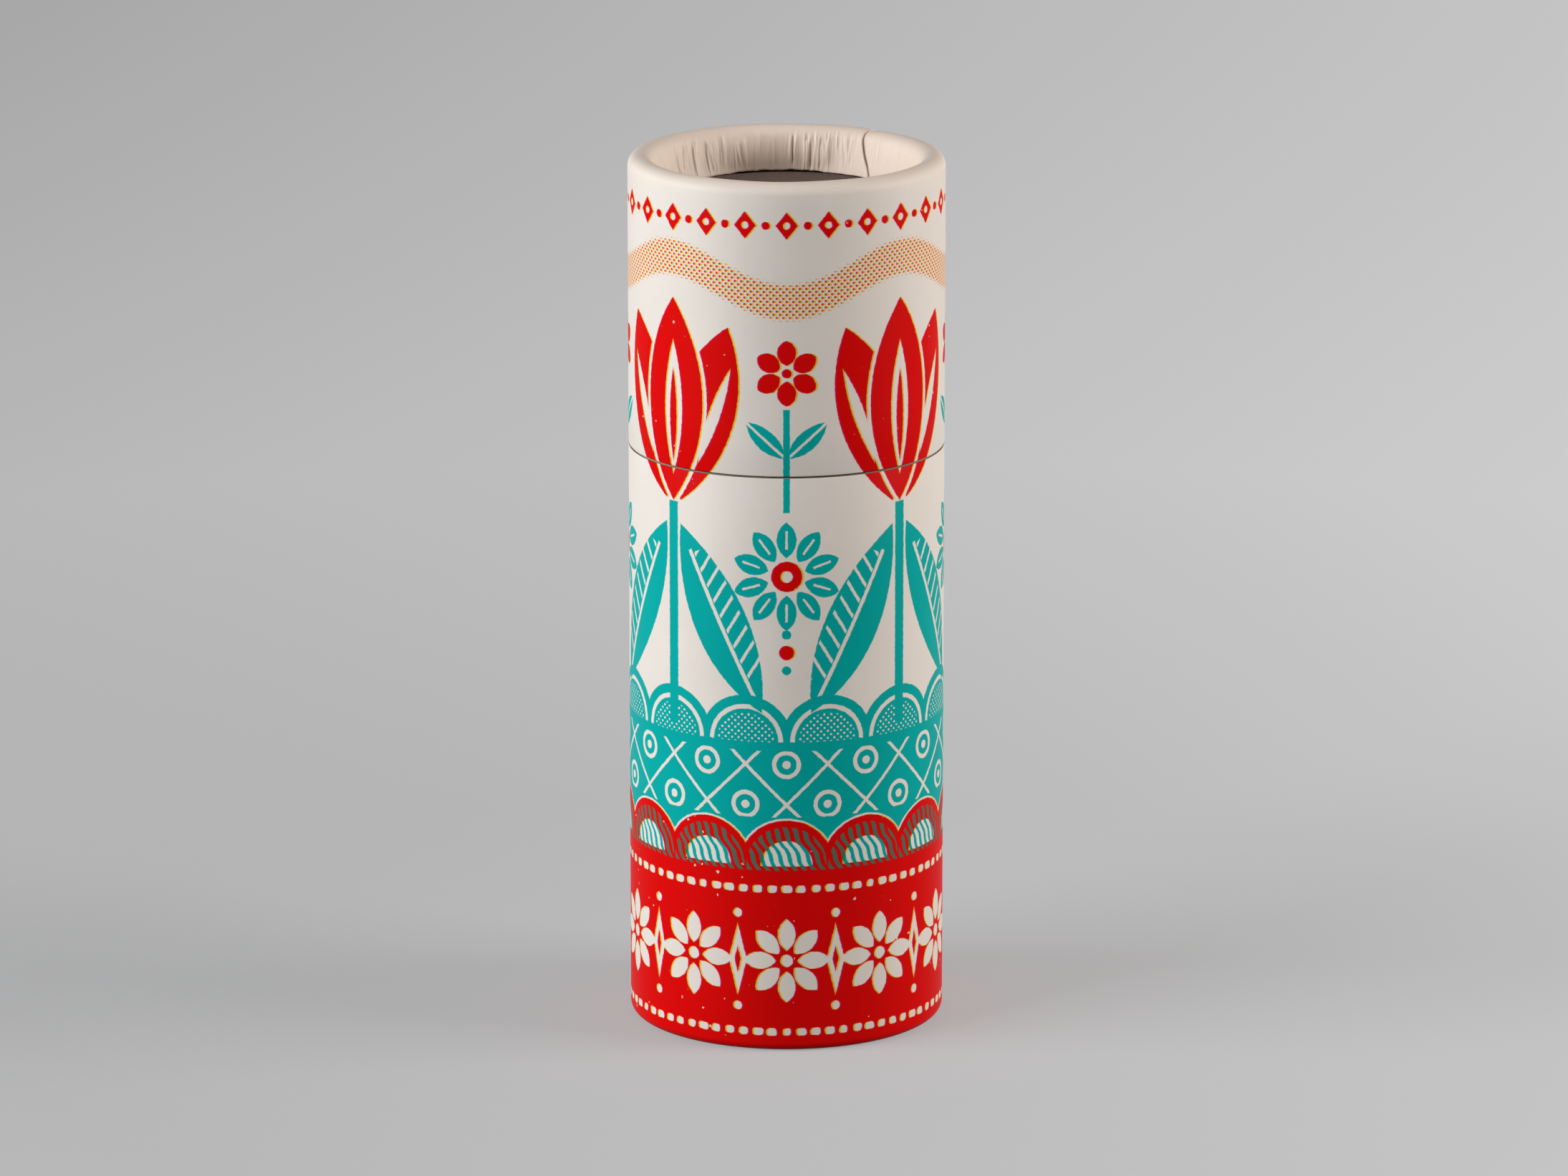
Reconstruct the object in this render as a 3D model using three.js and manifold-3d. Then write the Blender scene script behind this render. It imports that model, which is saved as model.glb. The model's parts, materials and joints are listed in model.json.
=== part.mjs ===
// A cylindrical paper match tube: a rolled-rim base and a slip lid on an inner neck, with long matches inside.
// Millimetres, +Z up, the origin on the tube's axis at the surface that it stands on.
import * as THREE from "three";
import { mergeVertices } from "three/addons/utils/BufferGeometryUtils.js";
import Module from "manifold-3d";

const wasm = await Module();
wasm.setup();

// Driving dimensions of the tube
const OUTER_DIAMETER = 40;
const LID_HEIGHT = 37.1;
const SEAM_GAP = 0.25;
const PAPER = 0.2;
const BOARD = 1;
const GLUE_GAP = 0.05;
const NECK_WALL = 0.9;
const NECK_FIT = 0.1;
const NECK_HEADROOM = 11.7;

// Driving dimensions of the rolled rims and the end discs
const CURL_SLOT = 0.7;
const CURL_LEAN = 0.6;
const BASE_CORNER = 1.2;
const LID_RECESS = 5.7;
const BASE_RECESS = 5;
const DISC_THICKNESS = 1.5;
const STRIKER_THICKNESS = 0.4;
const STRIKER_MARGIN = 0.3;
const SEAT_GAP = 0.05;

// Driving dimensions of a match
const MATCH_LENGTH = 95;
const STICK_WIDTH = 2.2;
const HEAD_LENGTH = 6.5;
const HEAD_DOME = 3;
const HEAD_CAP = 2;
const HEAD_COAT = 0.2;
const HEAD_SWELL = 0.2;
const SOCKET_GAP = 0.05;

// How the matches stand: in rings, outermost first, all leaning round the axis the same way
const HEADSPACE = 2.65;
const MATCHES_PER_RING = [15, 10];
const WALL_CLEARANCE = 1.5;
const RING_GAP = 0.5;
const NEIGHBOUR_GAP = 0.3;
const LEAN_TURN = THREE.MathUtils.degToRad(28);
const LEAN_SCATTER = THREE.MathUtils.degToRad(1.1);
const STAND_GAP = 0.1;

// Facets
const TURN_SEGMENTS = 48;
const CORNER_STEPS = 3;
const HEAD_SEGMENTS = 8;
const DOME_STEPS = 3;
const MERGE_DISTANCE = 1e-4;

// Sizes that follow from the driving dimensions
const outerRadius = OUTER_DIAMETER / 2;
const boardDepth = PAPER + GLUE_GAP;
const wallDepth = boardDepth + BOARD;
const rimWidth = 2 * wallDepth + CURL_SLOT;
const discRadius = outerRadius - wallDepth - NECK_FIT;
const neckBore = discRadius - NECK_WALL;
const floorHeight = BASE_RECESS + SEAT_GAP + DISC_THICKNESS;
const standHeight = floorHeight + STAND_GAP;
const ceilingHeight = standHeight + MATCH_LENGTH + HEADSPACE;
const lidDiscTop = ceilingHeight + DISC_THICKNESS;
const strikerTop = lidDiscTop + SEAT_GAP + STRIKER_THICKNESS;
const height = strikerTop + LID_RECESS;
const baseTop = height - LID_HEIGHT - SEAM_GAP;
const neckTop = ceilingHeight - NECK_HEADROOM;
const strikerRadius = outerRadius - rimWidth - CURL_LEAN - STRIKER_MARGIN;
const socketWidth = STICK_WIDTH + 2 * SOCKET_GAP;
const headNeckRadius = socketWidth / Math.SQRT2 + HEAD_COAT;
const headRadius = headNeckRadius + HEAD_SWELL;

// Materials
const matte = (color, roughness) => new THREE.MeshStandardMaterial({ color, roughness, metalness: 0 });
const lidPaper = matte(0xe6dcd2, 0.5);
const basePaper = matte(0xb4060c, 0.5);
const greyBoard = matte(0xb7a691, 0.9);
const whiteBoard = matte(0xd9cfc2, 0.85);
const strikingCoat = matte(0x553f38, 0.95);
const aspenWood = matte(0xdcbf92, 0.75);
const matchCompound = matte(0xa3161a, 0.7);

const tube = new THREE.Group();

function addMesh(parent, name, geometry, material) {
  const mesh = new THREE.Mesh(geometry, material);
  mesh.name = name;
  parent.add(mesh);
}

// Turns a profile of [radius, height] points about the Z axis, run anticlockwise so that its faces point outwards.
function turned(profile, segments = TURN_SEGMENTS) {
  const points = profile.map(([radius, z]) => new THREE.Vector2(radius, z));
  const outwards = THREE.ShapeUtils.isClockWise(points) ? points.reverse() : points;
  return new THREE.LatheGeometry(outwards, segments).rotateX(Math.PI / 2);
}

// A round plate between two heights.
function turnedDisc(radius, bottom, top) {
  return turned([[0, bottom], [radius, bottom], [radius, top], [0, top]]);
}

// A straight ring between two radii and two heights.
function turnedRing(inner, outer, bottom, top) {
  return turned([[inner, bottom], [outer, bottom], [outer, top], [inner, top], [inner, bottom]]);
}

// One side of a rolled rim's section, a set depth under its skin: along the wall, round the crest, down the flange.
// Points are [radius, distance from the crest].
function rimLine({ corner, wall, flange }, depth) {
  const round = Math.max(corner - depth, 0);
  const steps = round > 0 ? CORNER_STEPS : 1;
  const wallRadius = outerRadius - depth;
  const flangeRadius = outerRadius - rimWidth + depth;
  const corners = [];
  for (let step = 0; step <= steps; step += 1) {
    const angle = (Math.PI / 2) * (step / steps);
    corners.push([round * (1 - Math.cos(angle)), depth + round * (1 - Math.sin(angle))]);
  }
  const wallCorner = corners.map(([across, drop]) => [wallRadius - across, drop]);
  const flangeCorner = corners.map(([across, drop]) => [flangeRadius + across, drop]).reverse();
  return [[wallRadius, wall], ...wallCorner, ...flangeCorner, [flangeRadius - CURL_LEAN, flange]];
}

// A layer of a rolled-rim tube between two depths under its skin, as a closed profile.
function rimLayer(rim, outerDepth, innerDepth, heightOf) {
  const outside = rimLine(rim, outerDepth);
  const inside = rimLine(rim, innerDepth).reverse();
  const loop = [...outside, ...inside, outside[0]].map(([radius, drop]) => [radius, heightOf(drop)]);
  return loop.filter((point, index) => index === 0 || distance(point, loop[index - 1]) > MERGE_DISTANCE);
}

function distance([radius, z], [otherRadius, otherZ]) {
  return Math.hypot(radius - otherRadius, z - otherZ);
}

// The base: its rim faces down and has a flat crest to stand on. The neck is glued inside it and stands on the disc.
function addBase() {
  const rim = { corner: Math.min(BASE_CORNER, rimWidth / 2), wall: baseTop, flange: BASE_RECESS };
  const heightOf = (drop) => drop;
  addMesh(tube, "base_wrap", turned(rimLayer(rim, 0, PAPER, heightOf)), basePaper);
  addMesh(tube, "base_tube", turned(rimLayer(rim, boardDepth, wallDepth, heightOf)), greyBoard);
  addMesh(tube, "base_disc", turnedDisc(discRadius, BASE_RECESS + SEAT_GAP, floorHeight), whiteBoard);
  addMesh(tube, "neck_tube", turnedRing(neckBore, discRadius, floorHeight + SEAT_GAP, neckTop), whiteBoard);
}

// The lid: its rim faces up with a round crest, and its flange lies on the disc that carries the striking pad.
function addLid() {
  const rim = { corner: rimWidth / 2, wall: LID_HEIGHT, flange: height - lidDiscTop - SEAT_GAP };
  const heightOf = (drop) => height - drop;
  addMesh(tube, "lid_wrap", turned(rimLayer(rim, 0, PAPER, heightOf)), lidPaper);
  addMesh(tube, "lid_tube", turned(rimLayer(rim, boardDepth, wallDepth, heightOf)), greyBoard);
  addMesh(tube, "lid_disc", turnedDisc(discRadius, ceilingHeight, lidDiscTop), whiteBoard);
  addMesh(tube, "striker_pad", turnedDisc(strikerRadius, lidDiscTop + SEAT_GAP, strikerTop), strikingCoat);
}

// A closed geometry as a manifold-3d solid.
function solidOf(geometry) {
  const bare = geometry.clone();
  bare.deleteAttribute("normal");
  bare.deleteAttribute("uv");
  const merged = mergeVertices(bare, MERGE_DISTANCE);
  const vertProperties = merged.getAttribute("position").array;
  const triVerts = new Uint32Array(merged.index.array);
  return new wasm.Manifold(new wasm.Mesh({ numProp: 3, vertProperties, triVerts }));
}

// A manifold-3d solid as a three.js geometry.
function geometryOf(solid) {
  const mesh = solid.getMesh();
  const geometry = new THREE.BufferGeometry();
  geometry.setAttribute("position", new THREE.BufferAttribute(mesh.vertProperties, 3));
  geometry.setIndex(new THREE.BufferAttribute(mesh.triVerts, 1));
  return geometry;
}

// The dipped head of a match: it widens up to a dome, and has a square socket that holds the stick's end.
// It stands on the match's own axis, with the match's foot at the origin.
function headGeometry() {
  const bottom = MATCH_LENGTH - HEAD_LENGTH;
  const profile = [[0, bottom], [headNeckRadius, bottom]];
  for (let step = 0; step < DOME_STEPS; step += 1) {
    const angle = (Math.PI / 2) * (step / DOME_STEPS);
    profile.push([headRadius * Math.cos(angle), MATCH_LENGTH - HEAD_DOME * (1 - Math.sin(angle))]);
  }
  profile.push([0, MATCH_LENGTH]);
  const socketDepth = HEAD_LENGTH - HEAD_CAP + SOCKET_GAP;
  const socket = new THREE.BoxGeometry(socketWidth, socketWidth, 2 * socketDepth).translate(0, 0, bottom);
  return geometryOf(solidOf(turned(profile, HEAD_SEGMENTS)).subtract(solidOf(socket)));
}

// A match's square stick, from its foot at the origin to its end inside the head.
function stickGeometry() {
  const length = MATCH_LENGTH - HEAD_CAP;
  return new THREE.BoxGeometry(STICK_WIDTH, STICK_WIDTH, length).translate(0, 0, length / 2);
}

// A steady scatter from -1 to 1, one value for each match and use.
function scatter(index, use) {
  return Math.sin(13 * index + 78.2 * use);
}

// A level point on a ring, with the axis at its centre.
function ringPoint(radius, angle) {
  return new THREE.Vector3(radius * Math.cos(angle), radius * Math.sin(angle), 0);
}

// Stands one match on the floor disc. Its foot and its head lie on one ring, with the head a little further round.
function addMatch(index, ringRadius, angle, stick, head) {
  const foot = ringPoint(ringRadius, angle + LEAN_SCATTER * scatter(index, 1));
  const tip = ringPoint(ringRadius, angle + LEAN_TURN + LEAN_SCATTER * scatter(index, 2));
  const lean = Math.asin(foot.distanceTo(tip) / MATCH_LENGTH);
  const axis = tip.sub(foot).setZ(MATCH_LENGTH * Math.cos(lean)).normalize();
  const match = new THREE.Group();
  match.quaternion.setFromUnitVectors(new THREE.Vector3(0, 0, 1), axis);
  match.rotateZ(Math.PI * scatter(index, 3));
  const cornerLift = (STICK_WIDTH / Math.SQRT2) * Math.sin(lean);
  match.position.copy(foot).setZ(standHeight + cornerLift);
  const label = String(index).padStart(2, "0");
  addMesh(match, `match_stick_${label}`, stick, aspenWood);
  addMesh(match, `match_head_${label}`, head, matchCompound);
  tube.add(match);
}

// Fills each ring with its matches, or with as many heads as it has room for.
function addMatches() {
  const stick = stickGeometry();
  const head = headGeometry();
  const outermost = neckBore - headRadius - WALL_CLEARANCE;
  let index = 0;
  MATCHES_PER_RING.forEach((wanted, ring) => {
    const ringRadius = outermost - ring * (2 * headRadius + RING_GAP);
    const pitch = 2 * headRadius + NEIGHBOUR_GAP + 2 * ringRadius * LEAN_SCATTER;
    const room = Math.floor((2 * Math.PI * ringRadius) / pitch);
    const count = Math.min(wanted, room);
    for (let place = 0; place < count; place += 1) {
      index += 1;
      addMatch(index, ringRadius, (2 * Math.PI * place) / count, stick, head);
    }
  });
}

addBase();
addLid();
addMatches();

export default tube;
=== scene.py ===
"""A rolled-rim paper match tube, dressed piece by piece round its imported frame.

The slip lid, the base with its inner neck, and the long matches are classes that take their sizes from the
frame. Lengths are metres, except in the printed ornament, which is drawn in millimetres on the wraps' UV map.
"""

import json
import logging
import math
import random
from abc import ABC, abstractmethod
from dataclasses import dataclass, field, replace
from enum import Enum
from typing import Any, Callable, Iterable, Union

import bpy
import numpy as np
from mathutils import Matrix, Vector

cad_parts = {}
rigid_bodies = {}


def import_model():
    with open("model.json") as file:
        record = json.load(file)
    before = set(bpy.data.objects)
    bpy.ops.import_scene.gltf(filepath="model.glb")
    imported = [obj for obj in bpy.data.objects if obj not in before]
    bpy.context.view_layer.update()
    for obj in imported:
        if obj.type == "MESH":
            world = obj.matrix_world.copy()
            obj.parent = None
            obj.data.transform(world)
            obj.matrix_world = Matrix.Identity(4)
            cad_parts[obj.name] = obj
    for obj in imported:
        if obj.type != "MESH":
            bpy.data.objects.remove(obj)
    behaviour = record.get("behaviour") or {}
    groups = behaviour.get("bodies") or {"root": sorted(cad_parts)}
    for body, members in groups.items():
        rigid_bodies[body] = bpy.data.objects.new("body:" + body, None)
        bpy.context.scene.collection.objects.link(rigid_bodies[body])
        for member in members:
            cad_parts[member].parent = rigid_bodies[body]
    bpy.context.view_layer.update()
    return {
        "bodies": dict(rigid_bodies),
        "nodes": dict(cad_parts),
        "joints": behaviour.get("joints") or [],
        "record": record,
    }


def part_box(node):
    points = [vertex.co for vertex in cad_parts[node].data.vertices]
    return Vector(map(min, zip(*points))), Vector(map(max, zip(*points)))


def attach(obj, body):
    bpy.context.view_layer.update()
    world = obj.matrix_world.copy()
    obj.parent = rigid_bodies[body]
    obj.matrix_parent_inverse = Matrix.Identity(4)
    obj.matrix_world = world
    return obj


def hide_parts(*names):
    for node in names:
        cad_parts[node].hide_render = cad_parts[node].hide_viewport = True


LOG = logging.getLogger("match_tube")
MM = 0.001
PRINT_MAP = "print"
BAKE_MAP = "OFBake"
GRAIN = "grain"
COATED = "coated"
CUT_EDGE = (-30.0, -40.0)
FLOAT_SOCKET = "NodeSocketFloat"
GEOMETRY_SOCKET = "NodeSocketGeometry"
SQUARE_TURN = 45.0
WELD_DIGITS = 7

Pair = tuple[float, float]
Triple = tuple[float, float, float]
Colour = Triple
Piece = bpy.types.Object
Material = bpy.types.Material
Socket = bpy.types.NodeSocket
Array = np.ndarray
Paint = Union[Colour, Socket]
Stretch = Union[Triple, None]
Operand = Union["Signal", float]


class Facing(Enum):
    """Which way a rolled rim's crest faces: the sign of the height as the section leaves the crest."""

    UP = -1
    DOWN = 1


class Place(Enum):
    """What a finish's pattern is laid out on."""

    OBJECT = "Object"
    PRINT = PRINT_MAP
    GRAIN = GRAIN


# Node trees


@dataclass(frozen=True)
class Signal:
    """A number that varies over a surface: a node's output, with arithmetic that adds math nodes.

    A shape is a signal too: about the distance to its edge, and negative inside.
    """

    tree: bpy.types.NodeTree
    socket: Socket

    def math(self, operation: str, *operands: Operand, clamp: bool = False) -> "Signal":
        """Adds one math node.

        Args:
            operation: Blender's name for the operation.
            operands: The node's inputs in order, signals or plain numbers.
            clamp: Whether the result is held between 0 and 1.

        Returns:
            The node's result.
        """
        node = self.tree.nodes.new("ShaderNodeMath")
        node.operation = operation
        node.use_clamp = clamp
        for socket, operand in zip(node.inputs, operands):
            if isinstance(operand, Signal):
                self.tree.links.new(operand.socket, socket)
            else:
                socket.default_value = operand
        return Signal(self.tree, node.outputs[0])

    def __add__(self, other: Operand) -> "Signal":
        """The sum."""
        return self.math("ADD", self, other)

    def __sub__(self, other: Operand) -> "Signal":
        """The difference."""
        return self.math("SUBTRACT", self, other)

    def __rsub__(self, other: float) -> "Signal":
        """A plain number less this one."""
        return self.math("SUBTRACT", other, self)

    def __mul__(self, other: Operand) -> "Signal":
        """The product."""
        return self.math("MULTIPLY", self, other)

    def __truediv__(self, other: Operand) -> "Signal":
        """The quotient."""
        return self.math("DIVIDE", self, other)

    def __neg__(self) -> "Signal":
        """The same number with its sign turned."""
        return self.math("MULTIPLY", self, -1.0)

    def __abs__(self) -> "Signal":
        """The size without its sign."""
        return self.math("ABSOLUTE", self)

    def least(self, other: Operand) -> "Signal":
        """The smaller of the two, which joins two shapes."""
        return self.math("MINIMUM", self, other)

    def most(self, other: Operand) -> "Signal":
        """The larger of the two, which keeps what two shapes share."""
        return self.math("MAXIMUM", self, other)

    def without(self, other: "Signal") -> "Signal":
        """This shape with another cut out of it."""
        return self.most(-other)

    def wrapped(self, period: float) -> "Signal":
        """Repeats every period, as a number from minus half of it to plus half."""
        return self.math("WRAP", self, period / 2, -period / 2)

    def sine(self) -> "Signal":
        """The sine."""
        return self.math("SINE", self)

    def cosine(self) -> "Signal":
        """The cosine."""
        return self.math("COSINE", self)

    def scaled(self, gain: float, offset: float, clamp: bool = False) -> "Signal":
        """This number times a gain, and an offset added."""
        return self.math("MULTIPLY_ADD", self, gain, offset, clamp=clamp)

    def eased(self, low: float, high: float) -> "Signal":
        """Runs from 0 at low to 1 at high, and stays there."""
        slope = 1.0 / (high - low)
        return self.scaled(slope, -low * slope, clamp=True)

    def inked(self, softness: float) -> "Signal":
        """1 inside a shape and 0 outside it, over an edge of that softness."""
        return self.scaled(-0.5 / softness, 0.5, clamp=True)


def weighted(signals: Iterable[Signal], weights: Iterable[float]) -> Signal:
    """The sum of signals, each times its weight."""
    first, *others = (signal * weight for signal, weight in zip(signals, weights))
    return sum(others, first)


class NodeTree:
    """A node tree under construction."""

    def __init__(self, tree: bpy.types.NodeTree) -> None:
        """Takes the tree that the nodes go to."""
        self.tree = tree

    def add(self, kind: str, inputs: dict[str, Any], **settings: Any) -> bpy.types.NodeOutputs:
        """Adds a node.

        Args:
            kind: Blender's name for the node.
            inputs: What goes into each named input: a signal, a socket or a plain value.
            settings: The node's own options.

        Returns:
            The node's outputs.
        """
        node = self.tree.nodes.new(kind)
        for label, value in settings.items():
            setattr(node, label, value)
        for label, value in inputs.items():
            socket = next(s for s in node.inputs if s.name == label and s.enabled)
            source = value.socket if isinstance(value, Signal) else value
            if isinstance(source, Socket):
                self.tree.links.new(source, socket)
            else:
                socket.default_value = source
        return node.outputs

    def signals(self, outputs: Iterable[Socket]) -> list[Signal]:
        """Outputs as signals."""
        return [Signal(self.tree, output) for output in outputs]

    def clouds(self, point: Socket, scale: float, octaves: float) -> bpy.types.NodeOutputs:
        """Adds a noise, with that many clouds to each unit of the point: a value from 0 to 1 and a colour."""
        return self.add("ShaderNodeTexNoise", {"Vector": point, "Scale": scale, "Detail": octaves})


class NodeGroup(NodeTree):
    """A node group with named inputs and one output."""

    def __init__(self, name: str, kind: str, inputs: dict[str, str], output: tuple[str, str]) -> None:
        """Makes the group.

        Args:
            name: Its name.
            kind: Blender's name for the kind of tree.
            inputs: Each input's name and kind of socket.
            output: The output's name and kind of socket.
        """
        super().__init__(bpy.data.node_groups.new(name, kind))
        for label, socket in inputs.items():
            self.tree.interface.new_socket(label, in_out="INPUT", socket_type=socket)
        self.tree.interface.new_socket(output[0], in_out="OUTPUT", socket_type=output[1])
        self.entry = self.tree.nodes.new("NodeGroupInput").outputs

    def close(self, result: Socket) -> None:
        """Sends a result to the group's output."""
        self.tree.links.new(result, self.tree.nodes.new("NodeGroupOutput").inputs[0])


# The printed ornament


@dataclass(frozen=True)
class Point:
    """A place on a sheet, with the shapes that can be drawn about the spot it is measured from."""

    x: Signal
    y: Signal

    def moved(self, across: float, up: float) -> "Point":
        """The place measured from another spot."""
        return Point(self.x - across, self.y - up)

    def raised(self, up: float) -> "Point":
        """The place measured from a spot that lies higher."""
        return Point(self.x, self.y - up)

    def mirrored(self) -> "Point":
        """The place folded over the upright axis."""
        return Point(abs(self.x), self.y)

    def every(self, pitch: float) -> "Point":
        """The place measured from the nearest of the spots that repeat sideways."""
        return Point(self.x.wrapped(pitch), self.y)

    def between(self, pitch: float) -> "Point":
        """The place measured from the nearest middle between two such spots."""
        return Point((self.x + pitch / 2).wrapped(pitch), self.y)

    def gridded(self, pitch: float) -> "Point":
        """The place measured from the nearest spot of a square grid."""
        return Point(self.x.wrapped(pitch), self.y.wrapped(pitch))

    def diagonal(self) -> "Point":
        """The place along the two diagonals."""
        return Point(self.x + self.y, self.x - self.y)

    def turned(self, degrees: float) -> "Point":
        """The place in axes that are turned by an angle."""
        cosine, sine = math.cos(math.radians(degrees)), math.sin(math.radians(degrees))
        return Point(self.x * cosine + self.y * sine, self.y * cosine - self.x * sine)

    def sector(self, count: int) -> "Point":
        """The place folded into one of the equal sectors round the spot.

        Args:
            count: How many sectors there are.

        Returns:
            The place across and along the sector's middle line.
        """
        angle = self.x.math("ARCTAN2", self.x, self.y).wrapped(math.tau / count)
        reach = self.length()
        return Point(reach * angle.sine(), reach * angle.cosine())

    def length(self) -> Signal:
        """The distance from the spot."""
        squares = self.x.math("MULTIPLY_ADD", self.x, self.x, self.y * self.y)
        return squares.math("SQRT", squares)

    def petal(self, half_width: float, half_height: float) -> Signal:
        """An upright petal, pointed at both ends."""
        radius = (half_width**2 + half_height**2) / (2 * half_width)
        return Point(abs(self.x) + (radius - half_width), self.y).length() - radius

    def lozenge(self, half_width: float, half_height: float) -> Signal:
        """An upright lozenge."""
        slope = 1 / math.hypot(1 / half_width, 1 / half_height)
        return weighted((abs(self.x), abs(self.y)), (slope / half_width, slope / half_height)) - slope

    def spot(self, radius: float) -> Signal:
        """A round spot."""
        return self.length() - radius

    def ring(self, radius: float, half_width: float) -> Signal:
        """A round line."""
        return abs(self.spot(radius)) - half_width

    def bar(self, half_width: float, half_height: float) -> Signal:
        """An upright bar."""
        return (abs(self.x) - half_width).most(abs(self.y) - half_height)

    def pebble(self, half_width: Operand, half_height: float, corner: float) -> Signal:
        """An upright bar with round corners.

        Args:
            half_width: Half its width, which may vary.
            half_height: Half its height.
            corner: The corners' radius.

        Returns:
            The shape.
        """
        beyond_side = (abs(self.x) - half_width + corner).most(0.0)
        beyond_end = (abs(self.y) - (half_height - corner)).most(0.0)
        return Point(beyond_side, beyond_end).length() - corner


@dataclass(frozen=True)
class Rosette:
    """A flower of equal petals round a heart."""

    petals: int
    inner: float
    outer: float
    half_width: float
    slit: float = 0.0

    def shape(self, at: Point) -> Signal:
        """The petals, each with a slit in it if the flower has one.

        Args:
            at: A place from the flower's middle.

        Returns:
            The shape.
        """
        half_height = (self.outer - self.inner) / 2
        at = at.sector(self.petals).raised((self.inner + self.outer) / 2)
        shape = at.petal(self.half_width, half_height)
        if self.slit:
            shape = shape.without(at.bar(self.slit, half_height / 2))
        return shape


@dataclass(frozen=True)
class Tulip:
    """A large cup of three carved petals, which crosses the seam."""

    height: float = 83.5
    middle: Pair = (4.7, 13.0)
    side: Pair = (4.3, 12.0)
    side_place: Pair = (4.7, -1.4)
    side_lean: float = -17.0
    gap: float = 0.6
    slit: Pair = (1.5, 8.6)
    slit_drop: float = 1.0
    core: Pair = (0.6, 6.0)
    core_drop: float = 2.0
    vein: Pair = (0.8, 6.6)
    vein_place: Pair = (6.3, -1.4)
    vein_lean: float = -20.0

    def shape(self, at: Point) -> Signal:
        """The red of the cup.

        Args:
            at: A place from the tulip's middle line.

        Returns:
            The shape.
        """
        at = at.raised(self.height)
        middle = at.petal(*self.middle)
        side = at.mirrored().moved(*self.side_place).turned(self.side_lean).petal(*self.side)
        core = at.raised(-self.core_drop).petal(*self.core)
        slit = at.raised(-self.slit_drop).petal(*self.slit).without(core)
        vein = at.mirrored().moved(*self.vein_place).turned(self.vein_lean).petal(*self.vein)
        return middle.least(side.most(self.gap - middle)).without(slit).without(vein)


@dataclass(frozen=True)
class RimRow:
    """The row of lozenges and dots under the rim."""

    pitch: float
    height: float = 106.7
    half_size: Pair = (1.4, 1.75)
    eye: float = 0.45
    dot: float = 0.52

    def shape(self, at: Point) -> Signal:
        """The red of the row.

        Args:
            at: A place on the sheet.

        Returns:
            The shape.
        """
        row = at.raised(self.height)
        cell = row.every(self.pitch)
        eyed = cell.lozenge(*self.half_size).without(cell.spot(self.eye))
        return eyed.least(row.between(self.pitch).spot(self.dot))


@dataclass(frozen=True)
class Posy:
    """The small flower between two tulips, on a stem with two leaves that reaches over the seam."""

    bloom: Rosette = Rosette(petals=6, inner=1.0, outer=4.2, half_width=1.2)
    bloom_height: float = 88.0
    heart: float = 0.62
    stem: Pair = (0.42, 6.6)
    stem_height: float = 76.8
    leaf: Pair = (1.25, 3.4)
    leaf_place: Pair = (2.6, 79.4)
    leaf_lean: float = -48.0
    leaf_rib: float = 0.16

    def flower(self, at: Point) -> Signal:
        """The red of the bloom."""
        bloom = at.raised(self.bloom_height)
        return self.bloom.shape(bloom).least(bloom.spot(self.heart))

    def stalk(self, at: Point) -> Signal:
        """The teal of the stem alone."""
        return at.raised(self.stem_height).bar(*self.stem)

    def sprig(self, at: Point) -> Signal:
        """The teal of the stem and its leaves."""
        leaning = at.mirrored().moved(*self.leaf_place).turned(self.leaf_lean)
        return self.stalk(at).least(leaning.petal(*self.leaf).most(self.leaf_rib - abs(leaning.x)))


@dataclass(frozen=True)
class Festoon:
    """The hanging ribbon that is printed in dots."""

    pitch: float
    height: float = 99.3
    swing: float = 2.3
    half_width: float = 2.7

    def shape(self, at: Point) -> Signal:
        """The ribbon, lowest between two tulips."""
        middle = (at.x * (math.tau / self.pitch)).cosine() * -self.swing + self.height
        return abs(at.y - middle) - self.half_width


@dataclass(frozen=True)
class Daisy:
    """The teal flower with a red heart that stands on the posy's stem, and the beads that hang from it."""

    petals: Rosette = Rosette(petals=10, inner=2.4, outer=7.0, half_width=1.25, slit=0.14)
    height: float = 62.0
    heart: Pair = (1.35, 0.6)
    bead: float = 0.95
    bead_height: float = 52.2
    small_bead: float = 0.6
    bead_gap: float = 2.3

    def red(self, at: Point) -> Signal:
        """The heart's ring and the large bead."""
        heart = at.raised(self.height).ring(*self.heart)
        return heart.least(at.raised(self.bead_height).spot(self.bead))

    def teal(self, at: Point) -> Signal:
        """The petals and the small beads."""
        beads = Point(at.x, abs(at.y - self.bead_height) - self.bead_gap).spot(self.small_bead)
        return self.petals.shape(at.raised(self.height)).least(beads)


@dataclass(frozen=True)
class LeafPair:
    """A tulip's stem and its two tall leaves, each carved on one side of its rib."""

    stem: Pair = (0.75, 14.4)
    stem_height: float = 56.0
    leaf: Pair = (3.7, 13.0)
    leaf_place: Pair = (6.9, 56.0)
    leaf_lean: float = 26.0
    rib: Pair = (0.24, 10.5)
    rib_drop: float = 1.0
    cut_slope: Pair = (-0.54, 0.84)
    cut_pitch: float = 1.75
    cut_width: float = 0.19
    cut_room: Pair = (1.35, 9.0)
    cut_place: float = 1.75

    def shape(self, at: Point) -> Signal:
        """The teal of the stem and both leaves.

        Args:
            at: A place from the tulip's middle line.

        Returns:
            The shape.
        """
        leaning = at.mirrored().moved(*self.leaf_place).turned(self.leaf_lean)
        slant = weighted((abs(leaning.x), leaning.y), self.cut_slope)
        room = leaning.moved(self.cut_place, 0.0).bar(*self.cut_room)
        cuts = (abs(slant.wrapped(self.cut_pitch)) - self.cut_width).most(room)
        rib = leaning.raised(-self.rib_drop).bar(*self.rib)
        leaf = leaning.petal(*self.leaf).without(rib).without(cuts)
        return at.raised(self.stem_height).bar(*self.stem).least(leaf)


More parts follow.
